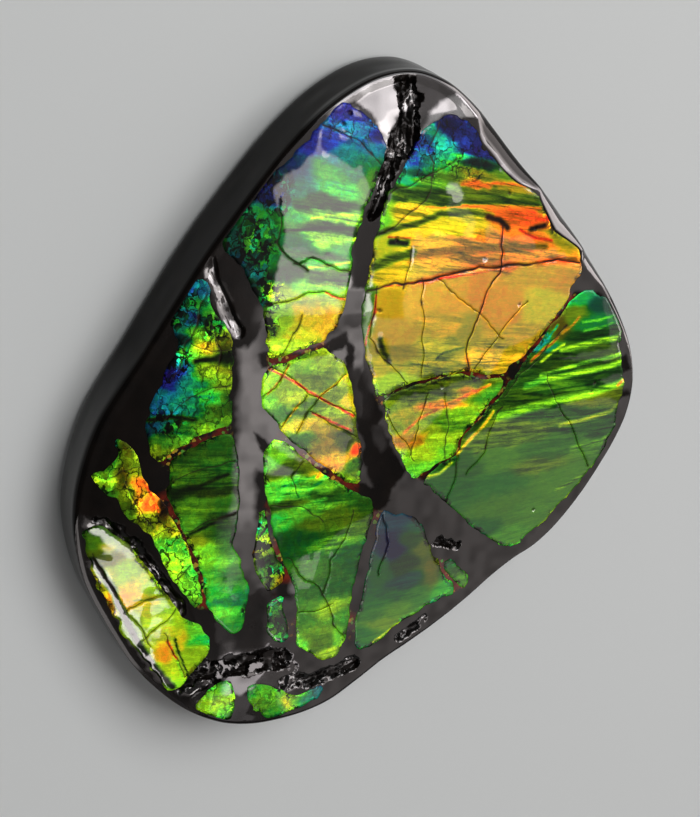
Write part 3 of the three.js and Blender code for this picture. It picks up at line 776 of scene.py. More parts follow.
wrinkle_place = add(tree, "ShaderNodeMapping", {"Vector": lines, "Scale": (1.3, 0.42, 1.0)})
wrinkles = add(tree, "ShaderNodeTexNoise", {
    "Vector": wrinkle_place.outputs[0], "Scale": 1.0, "Detail": 3.0, "Distortion": 1.6})
crumb_bend = add(tree, "ShaderNodeTexNoise", {"Vector": lines, "Scale": 1.1, "Detail": 4.0})
crumb_place = add(tree, "ShaderNodeVectorMath", {
    0: crumb_bend.outputs["Color"], 1: (2.2, 2.2, 0.0), 2: lines}, operation="MULTIPLY_ADD").outputs[0]

# Crumbs are about 0.6 mm across, the crackle in them 0.3 mm and the larger shards 2.4 mm.
CRUMBS, CRACKLE, SHARDS = 1.6, 3.1, 0.42  # cells to a millimetre
cells = add(tree, "ShaderNodeTexVoronoi", {"Vector": crumb_place, "Scale": CRUMBS})
shards = add(tree, "ShaderNodeTexVoronoi", {"Vector": crumb_place, "Scale": SHARDS})
borders, crackle, shard_gaps = [
    add(tree, "ShaderNodeTexVoronoi", {"Vector": crumb_place, "Scale": scale}, feature="DISTANCE_TO_EDGE")
    for scale in (CRUMBS, CRACKLE, SHARDS)]
cell_parts = add(tree, "ShaderNodeSeparateColor", {"Color": cells.outputs["Color"]})
shard_parts = add(tree, "ShaderNodeSeparateColor", {"Color": shards.outputs["Color"]})

streak_swing = add(tree, "ShaderNodeMapRange", {
    "Value": streaks.outputs["Fac"], "From Min": 0.3, "From Max": 0.7, "To Min": -0.06, "To Max": 0.07})
streak_hue = add(tree, "ShaderNodeMath", {
    0: streak_swing.outputs[0], 1: streaky, 2: hue}, operation="MULTIPLY_ADD")
fibre_hue = add(tree, "ShaderNodeMath", {
    0: fibres.outputs["Fac"], 1: 0.08, 2: streak_hue.outputs[0]}, operation="MULTIPLY_ADD")
cell_swing = add(tree, "ShaderNodeMapRange", {
    "Value": cell_parts.outputs["Red"], "To Min": -0.1, "To Max": 0.05})
cell_hue = add(tree, "ShaderNodeMath", {
    0: cell_swing.outputs[0], 1: crumble, 2: fibre_hue.outputs[0]}, operation="MULTIPLY_ADD")
level = add(tree, "ShaderNodeMath", {0: cell_hue.outputs[0], 1: 0.04}, operation="SUBTRACT")
spectrum = add(tree, "ShaderNodeValToRGB", {"Fac": level.outputs[0]})
SPECTRUM = [(0.0, "#311b92"), (0.12, "#1f44bc"), (0.25, "#0fa6a0"), (0.38, "#1fc932"), (0.52, "#7fd01a"),
            (0.64, "#b8dc1a"), (0.72, "#f0d21a"), (0.82, "#ff8a1a"), (0.92, "#ff3b12"), (1.0, "#c81408")]
ramp = spectrum.color_ramp
ramp.elements[0].color = linear(SPECTRUM[0][1])
ramp.elements[1].color = linear(SPECTRUM[-1][1])
for position, colour in SPECTRUM[1:-1]:
    ramp.elements.new(position).color = linear(colour)

# Folds of the shell show as thin dark lines, where the wrinkles cross their middle value.
fold = add(tree, "ShaderNodeMath", {0: wrinkles.outputs["Fac"], 1: 0.5}, operation="SUBTRACT")
fold_line = add(tree, "ShaderNodeMath", {0: fold.outputs[0]}, operation="ABSOLUTE")

# The brightness that each pattern gives the shell: where it is read, its range there, and the
# brightness at both ends. The last three say how much of a pattern shows as crumble grows.
RANGES = {
    "streaks": (streaks.outputs["Fac"], 0.39, 0.62, 0.25, 1.6),
    "fibres": (fibres.outputs["Fac"], 0.34, 0.66, 0.84, 1.06),
    "crumbs": (cell_parts.outputs["Green"], 0.3, 0.95, 0.02, 2.6),
    "crumb borders": (borders.outputs["Distance"], 0.01, 0.07, 0.12, 1.0),
    "crackle": (crackle.outputs["Distance"], 0.0, 0.1, 0.45, 1.15),
    "shards": (shard_parts.outputs["Green"], 0.0, 1.0, 0.45, 1.35),
    "shard borders": (shard_gaps.outputs["Distance"], 0.015, 0.05, 0.05, 1.0),
    "folds": (fold_line.outputs[0], 0.0, 0.035, 0.45, 1.0),
    "crazed": (crumble, 0.1, 0.5, 0.0, 1.0),
    "broken up": (crumble, 0.25, 0.5, 0.0, 1.0),
    "crushed": (crumble, 0.45, 0.9, 0.0, 1.0),
}
shown = {}
for pattern, (source, low_end, high_end, at_low, at_high) in RANGES.items():
    shown[pattern] = add(tree, "ShaderNodeMapRange", {
        "Value": source, "From Min": low_end, "From Max": high_end,
        "To Min": at_low, "To Max": at_high}).outputs[0]
crushed_much = add(tree, "ShaderNodeMath", {0: crumble, 1: 1.6}, operation="POWER")
sharded = add(tree, "ShaderNodeMath", {0: shown["shards"], 1: shown["shard borders"]}, operation="MULTIPLY")
LIGHTS = [                                # a brightness, and how much of it there is
    (shown["streaks"], streaky),
    (shown["fibres"], 1.0),
    (shown["crumbs"], crushed_much.outputs[0]),
    (shown["crumb borders"], shown["crushed"]),
    (shown["crackle"], shown["crazed"]),
    (sharded.outputs[0], shown["broken up"]),
    (shown["folds"], streaky),
]
light = add(tree, "ShaderNodeMath", {0: glow, 1: 1.5}, operation="POWER")
for brightness, share in LIGHTS:
    part = add(tree, "ShaderNodeMix", {0: share, 2: 1.0, 3: brightness}, data_type="FLOAT")
    light = add(tree, "ShaderNodeMath", {0: light.outputs[0], 1: part.outputs[0]}, operation="MULTIPLY")
lit = add(tree, "ShaderNodeVectorMath", {
    0: spectrum.outputs["Color"], "Scale": light.outputs[0]}, operation="SCALE")
# Cracks are dark brown; the same colour in the pits is painted shade.
cracks_and_pit_shade_mixed = add(tree, "ShaderNodeMix", {0: cracks_and_pit_shade, 6: lit.outputs[0], 7: linear("#1c110d")}, data_type="RGBA")
tree.links.new(cracks_and_pit_shade_mixed.outputs[2], shader.inputs["Base Color"])
shader.inputs["Metallic"].default_value = 0.2
shader.inputs["Roughness"].default_value = 0.34
shader.inputs["Specular IOR Level"].default_value = 0.03
tree.links.new(film.outputs["Fac"], shader.inputs["Coat Weight"])
shader.inputs["Coat Roughness"].default_value = 0.02
shader.inputs["Coat IOR"].default_value = 1.52


def runs(line, kept):
    """The stretches of a line whose points are kept."""
    breaks = np.flatnonzero(np.diff(np.concatenate([[False], kept, [False]]).astype(int)))
    return [line[a:b] for a, b in zip(breaks[::2], breaks[1::2]) if b - a > 2]


def shell_plate(node, patches, bands=(), cracks=(), crumble=0.2, crushed=(), veil=1.0):
    """One plate: polished face with its cracks, side walls, underside and colours."""
    seed = 300 + 20 * plate_names.index(node)
    bed = beds[node]
    edge = bed - sideways(bed, closed=True) * PLATE_CLEARANCE
    rows, centres = [], []
    for k, (width, line) in enumerate(cracks):
        line = np.array(line, float)
        first, last = line[0] - line[1], line[-1] - line[-2]
        line[0] += first * CRACK_RUN_OUT / np.hypot(*first)
        line[-1] += last * CRACK_RUN_OUT / np.hypot(*last)
        centre = ragged(spaced(line, 0.3), seed + k, rough=0.14, coarse=0.3)
        kept = within(centre, edge) & (distance_to(centre, edge, closed=True) > 0.15)
        for run in runs(centre, kept):
            half = width * (0.5 + 0.3 * ripple(run[:, 0], run[:, 1], 1.1, seed + 5))[:, None]
            aside = sideways(run) * half
            rows += [run, run + aside, run - aside]
            if width > 0.3:
                rows += [run + aside * 0.55, run - aside * 0.55]
            centres.append((run, width))
    pits = np.array(PITS)[within(np.array(PITS), edge)]
    for k, pit in enumerate(pits):
        turn = np.radians(np.arange(0, 390, 30))
        lobed = PIT_RADIUS * (1 + 0.3 * np.sin(2 * turn + k))
        circle = np.column_stack([np.cos(turn), np.sin(turn)]) * lobed[:, None]
        rows += [pit + circle, pit + 0.5 * circle]
    inner = hex_points(edge.min(0), edge.max(0), PLATE_STEP, seed)
    inner = inner[within(inner, edge)]
    inner = inner[distance_to(inner, edge, closed=True) > EDGE_GAP]
    for run, width in centres:
        inner = inner[distance_to(inner, run) > width * 0.5 + 0.1]
    for pit in pits:
        inner = inner[np.hypot(*(inner - pit).T) > 1.5 * PIT_RADIUS]
    flat, triangles, owners, _ = triangulated(inner, [edge], rows)
    triangles = triangles[[bool(o) for o in owners]]
    crack_and_pit_shade, fringe = np.zeros(len(flat)), np.zeros(len(flat))
    sound = distance_to(flat, edge, closed=True) - 0.08
    for run, width in centres:
        off = distance_to(flat, run) / (0.5 * width)
        sound = np.minimum(sound, (off - 1) * 0.5 * width)
        crack_and_pit_shade = np.maximum(crack_and_pit_shade, np.clip(1.8 - 1.8 * off, 0, 1))
        if width > 0.3:
            fringe = np.maximum(fringe, np.clip(1.5 - 0.5 * off, 0, 1))
    sides = open_sides(triangles)
    outline = np.unique(sides)
    crack_bed = 0.7 + 0.3 * ripple(flat[:, 0], flat[:, 1], 0.5, seed)
    z = face(flat[:, 0], flat[:, 1]) - CRACK_DEPTH * crack_and_pit_shade * crack_bed
    z += WAVINESS * ripple(flat[:, 0], flat[:, 1], 1.6, seed + 9)
    # Each pit is lowered, and its hollow is painted dark in the cracks' brown, darkest in the middle: painted
    # shade.
    for pit in pits:
        off = np.hypot(*(flat - pit).T) / PIT_RADIUS
        z -= PIT_DEPTH * np.clip(1.9 - 1.8 * off, 0, 1)
        crack_and_pit_shade = np.maximum(crack_and_pit_shade, 0.7 * np.clip(1.9 - 1.8 * off, 0, 1))
    z[outline] -= 0.05
    under = {int(p): len(flat) + k for k, p in enumerate(outline)}
    order = {a: b for a, b in sides.tolist()}
    ring = [int(outline[0])]
    while order[ring[-1]] != ring[0]:
        ring.append(order[ring[-1]])
    _, low_triangles, low_owners, low_went = triangulated(np.zeros((0, 2)), [flat[ring]])
    low_triangles = low_triangles[[bool(o) for o in low_owners]]
    back_to = {low_went[k]: under[p] for k, p in enumerate(ring)}
    bottom = face(flat[outline, 0], flat[outline, 1]) - SHELL
    points = np.vstack([np.column_stack([flat, z]), np.column_stack([flat[outline], bottom])])
    faces = triangles.tolist()
    faces += [[b, a, under[a], under[b]] for a, b in sides.tolist()]
    faces += [[back_to[c], back_to[b], back_to[a]] for a, b, c in low_triangles.tolist()]
    plate = make_piece(node.replace("shell", "plate"), points, faces, [nacre])
    x, y = points[:, 0], points[:, 1]
    hue, glow, streaky = painted(x, y, patches, bands, seed)
    across, along = growth(x, y)
    lines = plate.data.attributes.new("growth", "FLOAT_VECTOR", "POINT")
    places = np.column_stack([across, along, np.full(len(x), seed)])
    lines.data.foreach_set("vector", places.ravel().astype(np.float32))
    wall_zeros = np.zeros(len(outline))
    red_edge = np.concatenate([fringe, wall_zeros]) * np.clip(0.5 + ripple(x, y, 3.0, seed + 13), 0, 1)
    store(plate, "hue", hue + 0.1 * red_edge)
    store(plate, "glow", glow)
    store(plate, "streaky", streaky)
    # The dark of the cracks, with the painted shade in the pits.
    store(plate, "cracks_and_pit_shade", np.concatenate([crack_and_pit_shade, wall_zeros]))
    border = np.concatenate([distance_to(flat, edge, closed=True), wall_zeros])
    crushed_rim = np.clip(1.3 - border / 0.7, 0, 1)
    share = np.maximum(crumble, crushed_rim * np.clip(0.55 + 0.9 * ripple(x, y, 2.2, seed + 15), 0, 1))
    for zone_x, zone_y, reach, much in crushed:
        near = np.hypot(x - zone_x, y - zone_y) / reach + 0.25 * ripple(x, y, 1.8, seed + 11)
        share = np.maximum(share, much * np.clip(2.2 - 2 * near, 0, 1))
    store(plate, "crumble", share)
    film = veil * film_over(x, y)
    film[:len(flat)] *= np.clip(sound / 0.22, 0, 1)
    film[len(flat):] = 0
    store(plate, "film", film)
    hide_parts(node)
    return plate


shell_plate("shell_upper_centre",
    patches=[
        (-6.5, 41.5, 0.06, 0.6), (-6.5, 39.5, 0.2, 0.55), (-4, 39, 0.2, 0.5), (-4, 37, 0.2, 0.5),
        (-2, 38.5, 0.04, 0.25), (-9, 37.5, 0.1, 0.55), (-6.5, 36, 0.24, 0.4), (-4.5, 34.5, 0.32, 0.3),
        (-3.5, 31, 0.48, 0.35, 1, 3), (-10.5, 37.5, 0.06, 0.45), (-13, 34, 0.16, 0.2),
        (-13.5, 31.5, 0.3, 0.35), (-17, 31, 0.1, 0.2), (-9.5, 33.5, 0.42, 0.5),
        (-7.5, 31.5, 0.38, 0.75, 3, 0.8), (-9.5, 29.5, 0.42, 0.1, 5, 0.8), (-7.5, 28, 0.52, 0.95, 4, 0.8),
        (-13.5, 27.5, 0.38, 0.65, 1.5, 0.8), (-9.5, 26, 0.45, 0.14, 5, 0.6), (-8, 24.5, 0.55, 1.05, 4, 0.9),
        (-13.5, 24, 0.36, 0.3), (-10.5, 22.5, 0.42, 0.15, 4, 0.4), (-10, 21.5, 0.42, 0.95, 2, 0.6),
        (-6.5, 23, 0.4, 0.5), (-9.5, 20, 0.48, 0.25, 4, 0.8), (-14.5, 20.5, 0.4, 0.12, 3, 1.5),
        (-15.5, 17, 0.62, 0.75, 2, 0.8), (-10.5, 18, 0.5, 1.05), (-10, 16, 0.64, 0.62, 3, 0.8),
        (-8.5, 13.5, 0.75, 0.78, 2, 1.5), (-11.5, 14.5, 0.72, 0.7, 2, 1.5), (-15, 13.5, 0.56, 0.65, 1, 2),
        (-13, 11.5, 0.68, 0.8, 2, 1), (-14.5, 10, 0.6, 1.25, 2, 0.7), (-18, 14.5, 0.52, 0.45),
        (-18.5, 26.5, 0.38, 0.42, 2, 1.5), (-21, 25, 0.36, 0.15, 2, 1.5), (-18.5, 24.5, 0.4, 0.42),
        (-20.5, 21, 0.26, 0.35), (-18, 22, 0.34, 0.4), (-19.5, 16.5, 0.32, 0.3), (-21, 18, 0.3, 0.04, 2, 2),
    ],
    bands=[
        (0.63, 1, 0.3, [(-11.4, 27.5), (-8.9, 28.1), (-5.8, 27.9)]),
        (0.4, 0.05, 0.5, [(-15.1, 25.9), (-10.2, 26.1), (-5.3, 26.1)]),
        (0.66, 0.9, 0.3, [(-11.6, 20.9), (-8.7, 21.2), (-5.8, 21.5)]),
        (0.9, 0.8, 0.25, [(-9.1, 17.5), (-8.1, 16.9), (-6.3, 16.3)]),
        (0.62, 0.9, 0.3, [(-10.3, 18.6), (-8.3, 18.6), (-6.6, 18.1)]),
    ],
    cracks=[
        (0.2, [(-9.7, 39.8), (-7, 38.6), (-4.9, 37.8), (-3.2, 36.3), (-2, 34.8)]),
        (0.2, [(-12.9, 21.7), (-11.2, 22.2), (-9.4, 21.5), (-7.5, 20.5), (-5.8, 20.4)]),
        (0.2, [(-16.8, 15.8), (-14.8, 16.1), (-13.2, 16.5), (-11.6, 17.6), (-9.7, 17.8), (-7.3, 16.8),
               (-6.1, 16.4)]),
        (0.2, [(-15.7, 29.4), (-15.3, 26.7), (-15.8, 24.3), (-14.3, 22.3), (-12.4, 20.9)]),
        (0.2, [(-12.6, 13.7), (-13.8, 10.9), (-15, 8.8)]),
    ],
    crushed=[(-20, 24, 5, 1), (-18, 18, 3.5, 1), (-16.5, 31, 3.4, 0.9), (-18, 13, 2.5, 1),
             (-6, 40, 4.5, 0.45)],
    crumble=0.3, veil=0.45)
shell_plate("shell_middle_centre",
    patches=[
        (-14.5, 7.5, 0.57, 1.15, 1, 0.6), (-16.5, 5, 0.56, 1.28, 1, 1.5), (-16.5, 2.5, 0.5, 1.15),
        (-12.5, 7.5, 0.54, 0.81, 2, 1), (-9, 8, 0.62, 0.74, 2, 1), (-9.5, 5, 0.58, 0.41, 3, 1),
        (-14, 3.5, 0.6, 0.68), (-13, 2.5, 0.66, 1.01), (-11, 1.5, 0.54, 0.47, 3, 1),
        (-14.5, 0.5, 0.45, 0.41), (-7, 3, 0.6, 0.54), (-5.5, 5, 0.66, 1.01, 1, 0.6),
        (-5, 2, 0.72, 0.84, 0.8, 1), (-7, 1, 0.6, 0.94, 2, 0.6), (-4.5, -1, 0.66, 0.47),
        (-12, -1.5, 0.71, 1.28), (-10, -1.5, 0.72, 0.68), (-8, -3.5, 0.74, 0.38, 2, 1.5),
        (-11.5, -3, 0.44, 0.41), (-5, -3.5, 0.6, 0.2), (-5.5, -6, 0.75, 1.08, 2, 0.8),
        (-3.5, -5, 0.93, 1.28, 0.7, 1), (-6.5, -7, 0.8, 1.28, 1.5, 0.7), (-3, -7.5, 0.46, 0.47),
        (-3.5, -9.5, 0.56, 0.68),
    ],
    bands=[
        (0.93, 0.74, 0.35, [(-16.7, 7.2), (-14.6, 6), (-10.7, 3.6), (-7.7, 1.9), (-4.1, -0.2)]),
        (0.8, 1.01, 0.25, [(-13.8, 7.5), (-14.6, 6), (-16.6, 3.5)]),
        (0.75, 1.15, 0.3, [(-9.1, 3.1), (-7.1, 4.6), (-5.5, 5.8)]),
        (0.78, 1.15, 0.25, [(-11.9, 2.2), (-12.9, 0.5), (-14.1, -0.8)]),
        (0.92, 0.68, 0.3, [(-10.1, 0.6), (-7.5, -0.7), (-4.2, -2.4)]),
    ],
    cracks=[
        (0.2, [(-16.7, 7.2), (-14.3, 6), (-10.6, 3.3), (-7.7, 1.9), (-4.1, 0.1)]),
        (0.2, [(-14, 7.4), (-14.6, 5.7), (-15.6, 4.2), (-16.8, 3.5)]),
        (0.2, [(-5.6, 5.5), (-7.8, 3.7), (-9.9, 2.1), (-10.9, 0.3), (-11.8, -1.5)]),
        (0.2, [(-9.7, 0.3), (-7.5, -1.2), (-5.2, -2.4), (-3.7, -3.1)]),
        (0.2, [(-11.6, 2.5), (-13.1, 0.8), (-14.1, -0.7)]),
    ],
    crumble=0.35, veil=0.45)
shell_plate("shell_lower_centre",
    patches=[
        (-15, -4.5, 0.5, 0.98, 2, 1), (-16, -6.5, 0.47, 1.23, 1.5, 1), (-13, -8, 0.54, 0.26, 4, 0.9),
        (-9, -7.5, 0.62, 0.39), (-15, -10.5, 0.44, 1.23), (-11, -9.5, 0.44, 1.17, 3, 0.5),
        (-8.5, -8.5, 0.74, 0.98, 1, 0.6), (-8, -9.5, 0.48, 0.91), (-12, -11.5, 0.44, 1.3, 2, 0.6),
        (-8, -11.5, 0.46, 0.26, 3, 0.6), (-8, -13, 0.46, 0.72, 3, 0.6), (-12.5, -13, 0.5, 0.2, 3, 0.6),
        (-13, -15, 0.4, 0.91, 1.5, 1), (-11, -14, 0.46, 0.78), (-9, -16, 0.56, 0.39, 2, 1),
        (-4.5, -12, 0.44, 0.36, 3, 1), (-5, -15, 0.55, 0.36, 3, 1), (-1, -13.5, 0.44, 0.26),
        (-10.5, -18, 0.38, 0.2, 3, 1.5), (-6, -19, 0.48, 0.85, 3, 0.7), (-3, -17.5, 0.5, 0.45, 3, 0.7),
        (-1.5, -21.5, 0.38, 0.33, 3, 1.5), (-3.5, -25, 0.4, 0.36), (-8.5, -23.5, 0.46, 0.52),
        (-9.5, -26, 0.43, 0.45), (-5.5, -24, 0.44, 0.39), (-8, -30.5, 0.46, 0.52, 1.5, 1.5),
        (-5.5, -29.5, 0.58, 1.04), (-3, -30.5, 0.44, 0.72), (-6, -32, 0.54, 0.72), (-6.5, -34, 0.54, 0.52),
        (-9, -34.5, 0.44, 1.3, 1, 0.6), (-4.5, -36, 0.6, 1.3, 1.5, 0.5), (-3.5, -34, 0.48, 1.17, 0.6, 1.5),
    ],
    bands=[
        (0.42, 1.3, 0.6, [(-14.3, -12), (-12.6, -10.9), (-9.7, -10.4), (-8.2, -9.4), (-7.3, -8.5)]),
        (0.41, 1.23, 0.4, [(-15.4, -10.8), (-13.4, -9.9), (-11.3, -9.2), (-9.1, -8.8)]),
        (0.82, 1.23, 0.3, [(-8.2, -8), (-8.8, -8.9)]),
        (0.44, 0.98, 0.7, [(-13.6, -15.9), (-12, -14.5), (-10.2, -13.2), (-7.4, -12.1)]),
        (0.46, 0.78, 0.5, [(-9.5, -21.7), (-7.5, -20), (-5.4, -18.6), (-4, -17.8)]),
    ],
    cracks=[
        (0.2, [(-15, -12.6), (-12.4, -12.6), (-10.2, -13.6), (-8.2, -14.9)]),
        (0.2, [(-11.6, -21.3), (-9.3, -24), (-7.2, -25.7), (-5.1, -28.9), (-4.2, -31.8), (-2.7, -33.7)]),
        (0.2, [(-9.2, -29.3), (-7.3, -29.1), (-5.6, -28.6)]),
        (0.2, [(-3.2, -14.9), (-3.9, -18.6), (-5.8, -21.5), (-6.4, -26.1)]),
        (0.2, [(-11.7, -10.8), (-12.7, -8.7), (-11, -6.2)]),
    ],
    crumble=0.3, veil=0.6)
shell_plate("shell_bottom_centre",
    patches=[
        (4.5, -16.5, 0.2, 0.25), (7.5, -17.5, 0.32, 0.31), (3.5, -20.5, 0.1, 0.15, 1.5, 2),
        (6, -19.5, 0.42, 0.2), (8, -21.5, 0.64, 0.31, 1, 2), (6, -23, 0.42, 0.15),
        (10, -25, 0.68, 0.31, 1, 2), (2.5, -24, 0.38, 0.28, 1, 2), (7, -26, 0.28, 0.25, 3, 1),
        (4, -27.5, 0.36, 0.31, 3, 1), (1, -28.5, 0.38, 0.38), (9, -28.5, 0.42, 0.44),
        (2.5, -30.5, 0.42, 0.44), (4.5, -30.5, 0.5, 0.56, 2, 0.8), (2.5, -32.5, 0.57, 0.62),
        (0.5, -33.5, 0.38, 0.44), (12, -28.5, 0.4, 0.88),
    ],
    bands=[
        (0.64, 1.19, 0.4, [(2.1, -35.4), (4, -34), (6.2, -32.5)]),
        (0.46, 1.12, 0.45, [(6.1, -32.2), (8.4, -31.2), (10.6, -30.1)]),
        (0.4, 1.12, 0.45, [(10.9, -29.6), (12.9, -28.8), (13.8, -27.9)]),
        (0.44, 1, 0.3, [(-0.4, -36.2), (1.5, -35.6)]),
    ],
    cracks=[
        (0.2, [(10.9, -23.3), (12.5, -25.4), (13.9, -27.3)]),
        (0.2, [(1.7, -15.1), (2.5, -20), (2, -23.8)]),
    ],
    crumble=0.1)
shell_plate("shell_small_shard",
    patches=[
        (13, -24, 0.38, 0.36), (14.5, -25.5, 0.46, 0.36), (15, -27, 0.48, 0.72),
    ],
    crumble=0.3)


# ---- Shell plates of the right side ----
# The three largest sound plates, broken apart along one branching seam.
shell_plate("shell_upper_right",
    patches=[
        (9.5, 40.5, 0.05, 0.27), (10.5, 39, 0.1, 0.27), (7.5, 39.5, 0.08, 0.09), (5.5, 39, 0.32, 0.45),
        (4, 37, 0.14, 0.36), (2, 35, 0.14, 0.59), (5.5, 35, 0.26, 0.54), (3, 33.5, 0.32, 0.18, 2, 0.7),
        (8, 36.5, 0.3, 0.68), (9.5, 35.5, 0.4, 0.81, 2, 0.7), (11.5, 36, 0.06, 0.27), (7, 34, 0.42, 0.77),
        (12.5, 34, 0.34, 0.09, 3, 0.7), (1, 32.5, 0.32, 0.63), (5.5, 32, 0.5, 0.77, 3, 0.6),
        (9, 32.5, 0.52, 0.23), (12.5, 32.5, 0.66, 0.27, 3, 0.6), (12, 31.5, 0.86, 0.59, 3, 0.5),
        (17, 32, 0.54, 0.36), (17.5, 31, 0.74, 0.45, 2, 0.5), (4, 30, 0.5, 0.16, 6, 1),
        (16, 29.5, 0.6, 0.2, 6, 1), (-1.5, 27, 0.46, 0.72, 1, 2), (2.5, 28, 0.73, 0.81, 4, 0.8),
        (8, 28, 0.69, 0.68, 4, 0.5), (8.5, 26, 0.71, 0.9, 3, 1), (20, 26.5, 0.89, 0.85, 4, 1),
        (13, 23.5, 0.795, 0.77, 4, 0.8), (5.5, 24, 0.76, 0.9, 4, 1), (-1, 23.5, 0.67, 0.59, 1.5, 1.5),
        (23, 23, 0.85, 1.08, 3, 0.8), (26.5, 23, 0.68, 0.41), (7.5, 21, 0.76, 0.85, 5, 0.8),
        (0.5, 19.5, 0.72, 0.77, 4, 1), (14.5, 20.5, 0.8, 0.59, 4, 0.8), (22.5, 20.5, 0.8, 1.12, 4, 0.8),
        (0, 15.5, 0.74, 0.54, 1.5, 1.5), (4.5, 16, 0.755, 0.72, 2, 2), (10, 15.5, 0.765, 0.72, 2, 1.5),
        (13.5, 16.5, 0.79, 0.68, 1, 1.5), (8, 12.5, 0.735, 0.68, 3, 1), (2, 11.5, 0.745, 0.56, 2, 1.5),
        (1.5, 8.5, 0.7, 0.36, 2, 1), (9, 9, 0.68, 0.68, 3, 0.8), (7, 6.5, 0.66, 0.54, 3, 0.6),
        (0, 3.5, 0.6, 0.9), (-1.5, 7, 0.7, 0.68), (-3, 14.5, 0.5, 0.32, 0.6, 2),
        (18, 14, 0.785, 0.72, 2, 2), (12.5, 10.5, 0.7, 0.5, 1, 2), (21.5, 9.5, 0.73, 0.68, 3, 1),
        (17.5, 8, 0.7, 0.59, 3, 0.6), (17.5, 6.5, 0.76, 1.35, 3, 0.6), (24, 13.5, 0.7, 0.77, 2, 2),
        (22.5, 17.5, 0.745, 0.68, 3, 1.5), (27, 16.5, 0.77, 0.68),
    ],
    bands=[
        (0.85, 0.85, 0.5, [(10.5, 28.6), (16.3, 28.1), (22.7, 27.4)]),
        (0.57, 0.16, 0.8, [(-2.3, 25.2), (0.5, 25.8), (4.1, 26.6), (7.1, 27.6), (11.6, 27.6), (15.1, 26.8)]),
        (0.8, 0.04, 1, [(14.5, 26.6), (16.4, 26.1), (17.7, 25)]),
        (0.9, 0.81, 0.3, [(-0.4, 24.7), (1.3, 24.5), (2.7, 24.5)]),
        (0.5, 0.02, 0.9, [(0, 23.9), (2.3, 23.8)]),
        (0.8, 0.03, 0.9, [(21.4, 24.6), (23.7, 25)]),
        (0.75, 0.32, 1.1, [(3.6, 22), (8.8, 22.2), (15, 22.4), (23.9, 21.9)]),
        (0.55, 0.2, 1.2, [(-2.4, 20.7), (-0.1, 21.7), (3.1, 22.3)]),
        (0.86, 0.77, 0.25, [(-0.9, 18), (4.5, 18.3), (9.8, 18.8), (16, 19.2)]),
        (0.56, 0.23, 0.3, [(7.8, 7.3), (8.8, 8.1), (11.9, 8.4)]),
        (0.93, 0.59, 0.3, [(-1.9, 16.7), (-2, 14), (-2.8, 11.6), (-3, 9.9)]),
        (0.6, 0.07, 0.8, [(-0.8, 10.5), (-0.3, 8.7), (0.6, 7.3)]),
        (0.86, 0.68, 0.35, [(10.1, 31.4), (13, 31.4), (16.1, 31.2), (20.1, 30.7)]),
        (0.55, 0.27, 0.5, [(7, 30), (11.5, 29.9), (16.2, 29.5), (22.6, 29)]),
        (0.5, 0.18, 0.45, [(8.5, 29.1), (13.1, 29), (18.6, 28.7), (23.5, 28.1)]),
        (0.84, 0.85, 0.25, [(4.8, 28.5), (9.3, 28.5), (14.7, 28.1), (19.4, 27.9), (23.5, 27.4)]),
        (0.9, 0.81, 0.4, [(18.2, 26.9), (21.1, 26.4), (24.8, 25.7)]),
        (0.93, 0.68, 0.4, [(19.6, 24.6), (22.2, 23.3), (25, 22.7)]),
        (0.76, 0.36, 0.7, [(5.8, 22.5), (9.6, 22.6), (13.5, 22.2), (17.6, 21.9)]),
        (0.8, 0.85, 0.4, [(5.9, 21.6), (10.4, 21.6), (15.1, 21.1), (19.9, 20.9), (24.1, 19.7)]),
        (0.68, 0.85, 0.35, [(6.6, 24.6), (9.5, 24.8), (12.6, 24.2)]),
    ],
    cracks=[
        (0.5, [(-4.2, 17.4), (-1.6, 17.6), (1.4, 18.3), (4.8, 18.4), (7.2, 18.6), (10.4, 19.3),
               (13.6, 19.7), (20.1, 19.6), (26.7, 19.6), (31, 19)]),
        (0.35, [(16.9, 24.5), (17, 21), (16.8, 18.7), (15.2, 16.6), (14.2, 14), (13.8, 12.2), (12.5, 9.3),
                (12.5, 7), (13, 4.9)]),
        (0.2, [(7.7, 18.3), (10.8, 15.8), (13.7, 13.5), (17.5, 9.8)]),
        (0.2, [(21.1, 13.7), (19, 11.6), (17.5, 9.8), (15.8, 7.8), (14.3, 5.9)]),
        (0.2, [(4.9, 17.9), (5.4, 11.5), (5.7, 5.2)]),
        (0.2, [(-1.8, 17.2), (-1.9, 14), (-2.6, 10.8), (-1.2, 8.9), (1.1, 6.7), (2.9, 4.7)]),
        (0.2, [(3, 22.3), (2.8, 20.3), (2.3, 18.3)]),
        (0.2, [(6.2, 39.1), (5, 36.3), (6.2, 34.5), (5.6, 31.8), (4.9, 29.4), (1, 26.7), (-2.1, 24.7)]),
        (0.2, [(0.6, 31.1), (3.6, 32.3), (6.5, 33.6), (8.6, 34.6)]),
    ],
    crumble=0.15, crushed=[(9.5, 39, 4.5, 0.5), (5, 35.5, 4, 0.5), (11, 35, 4, 0.5)])
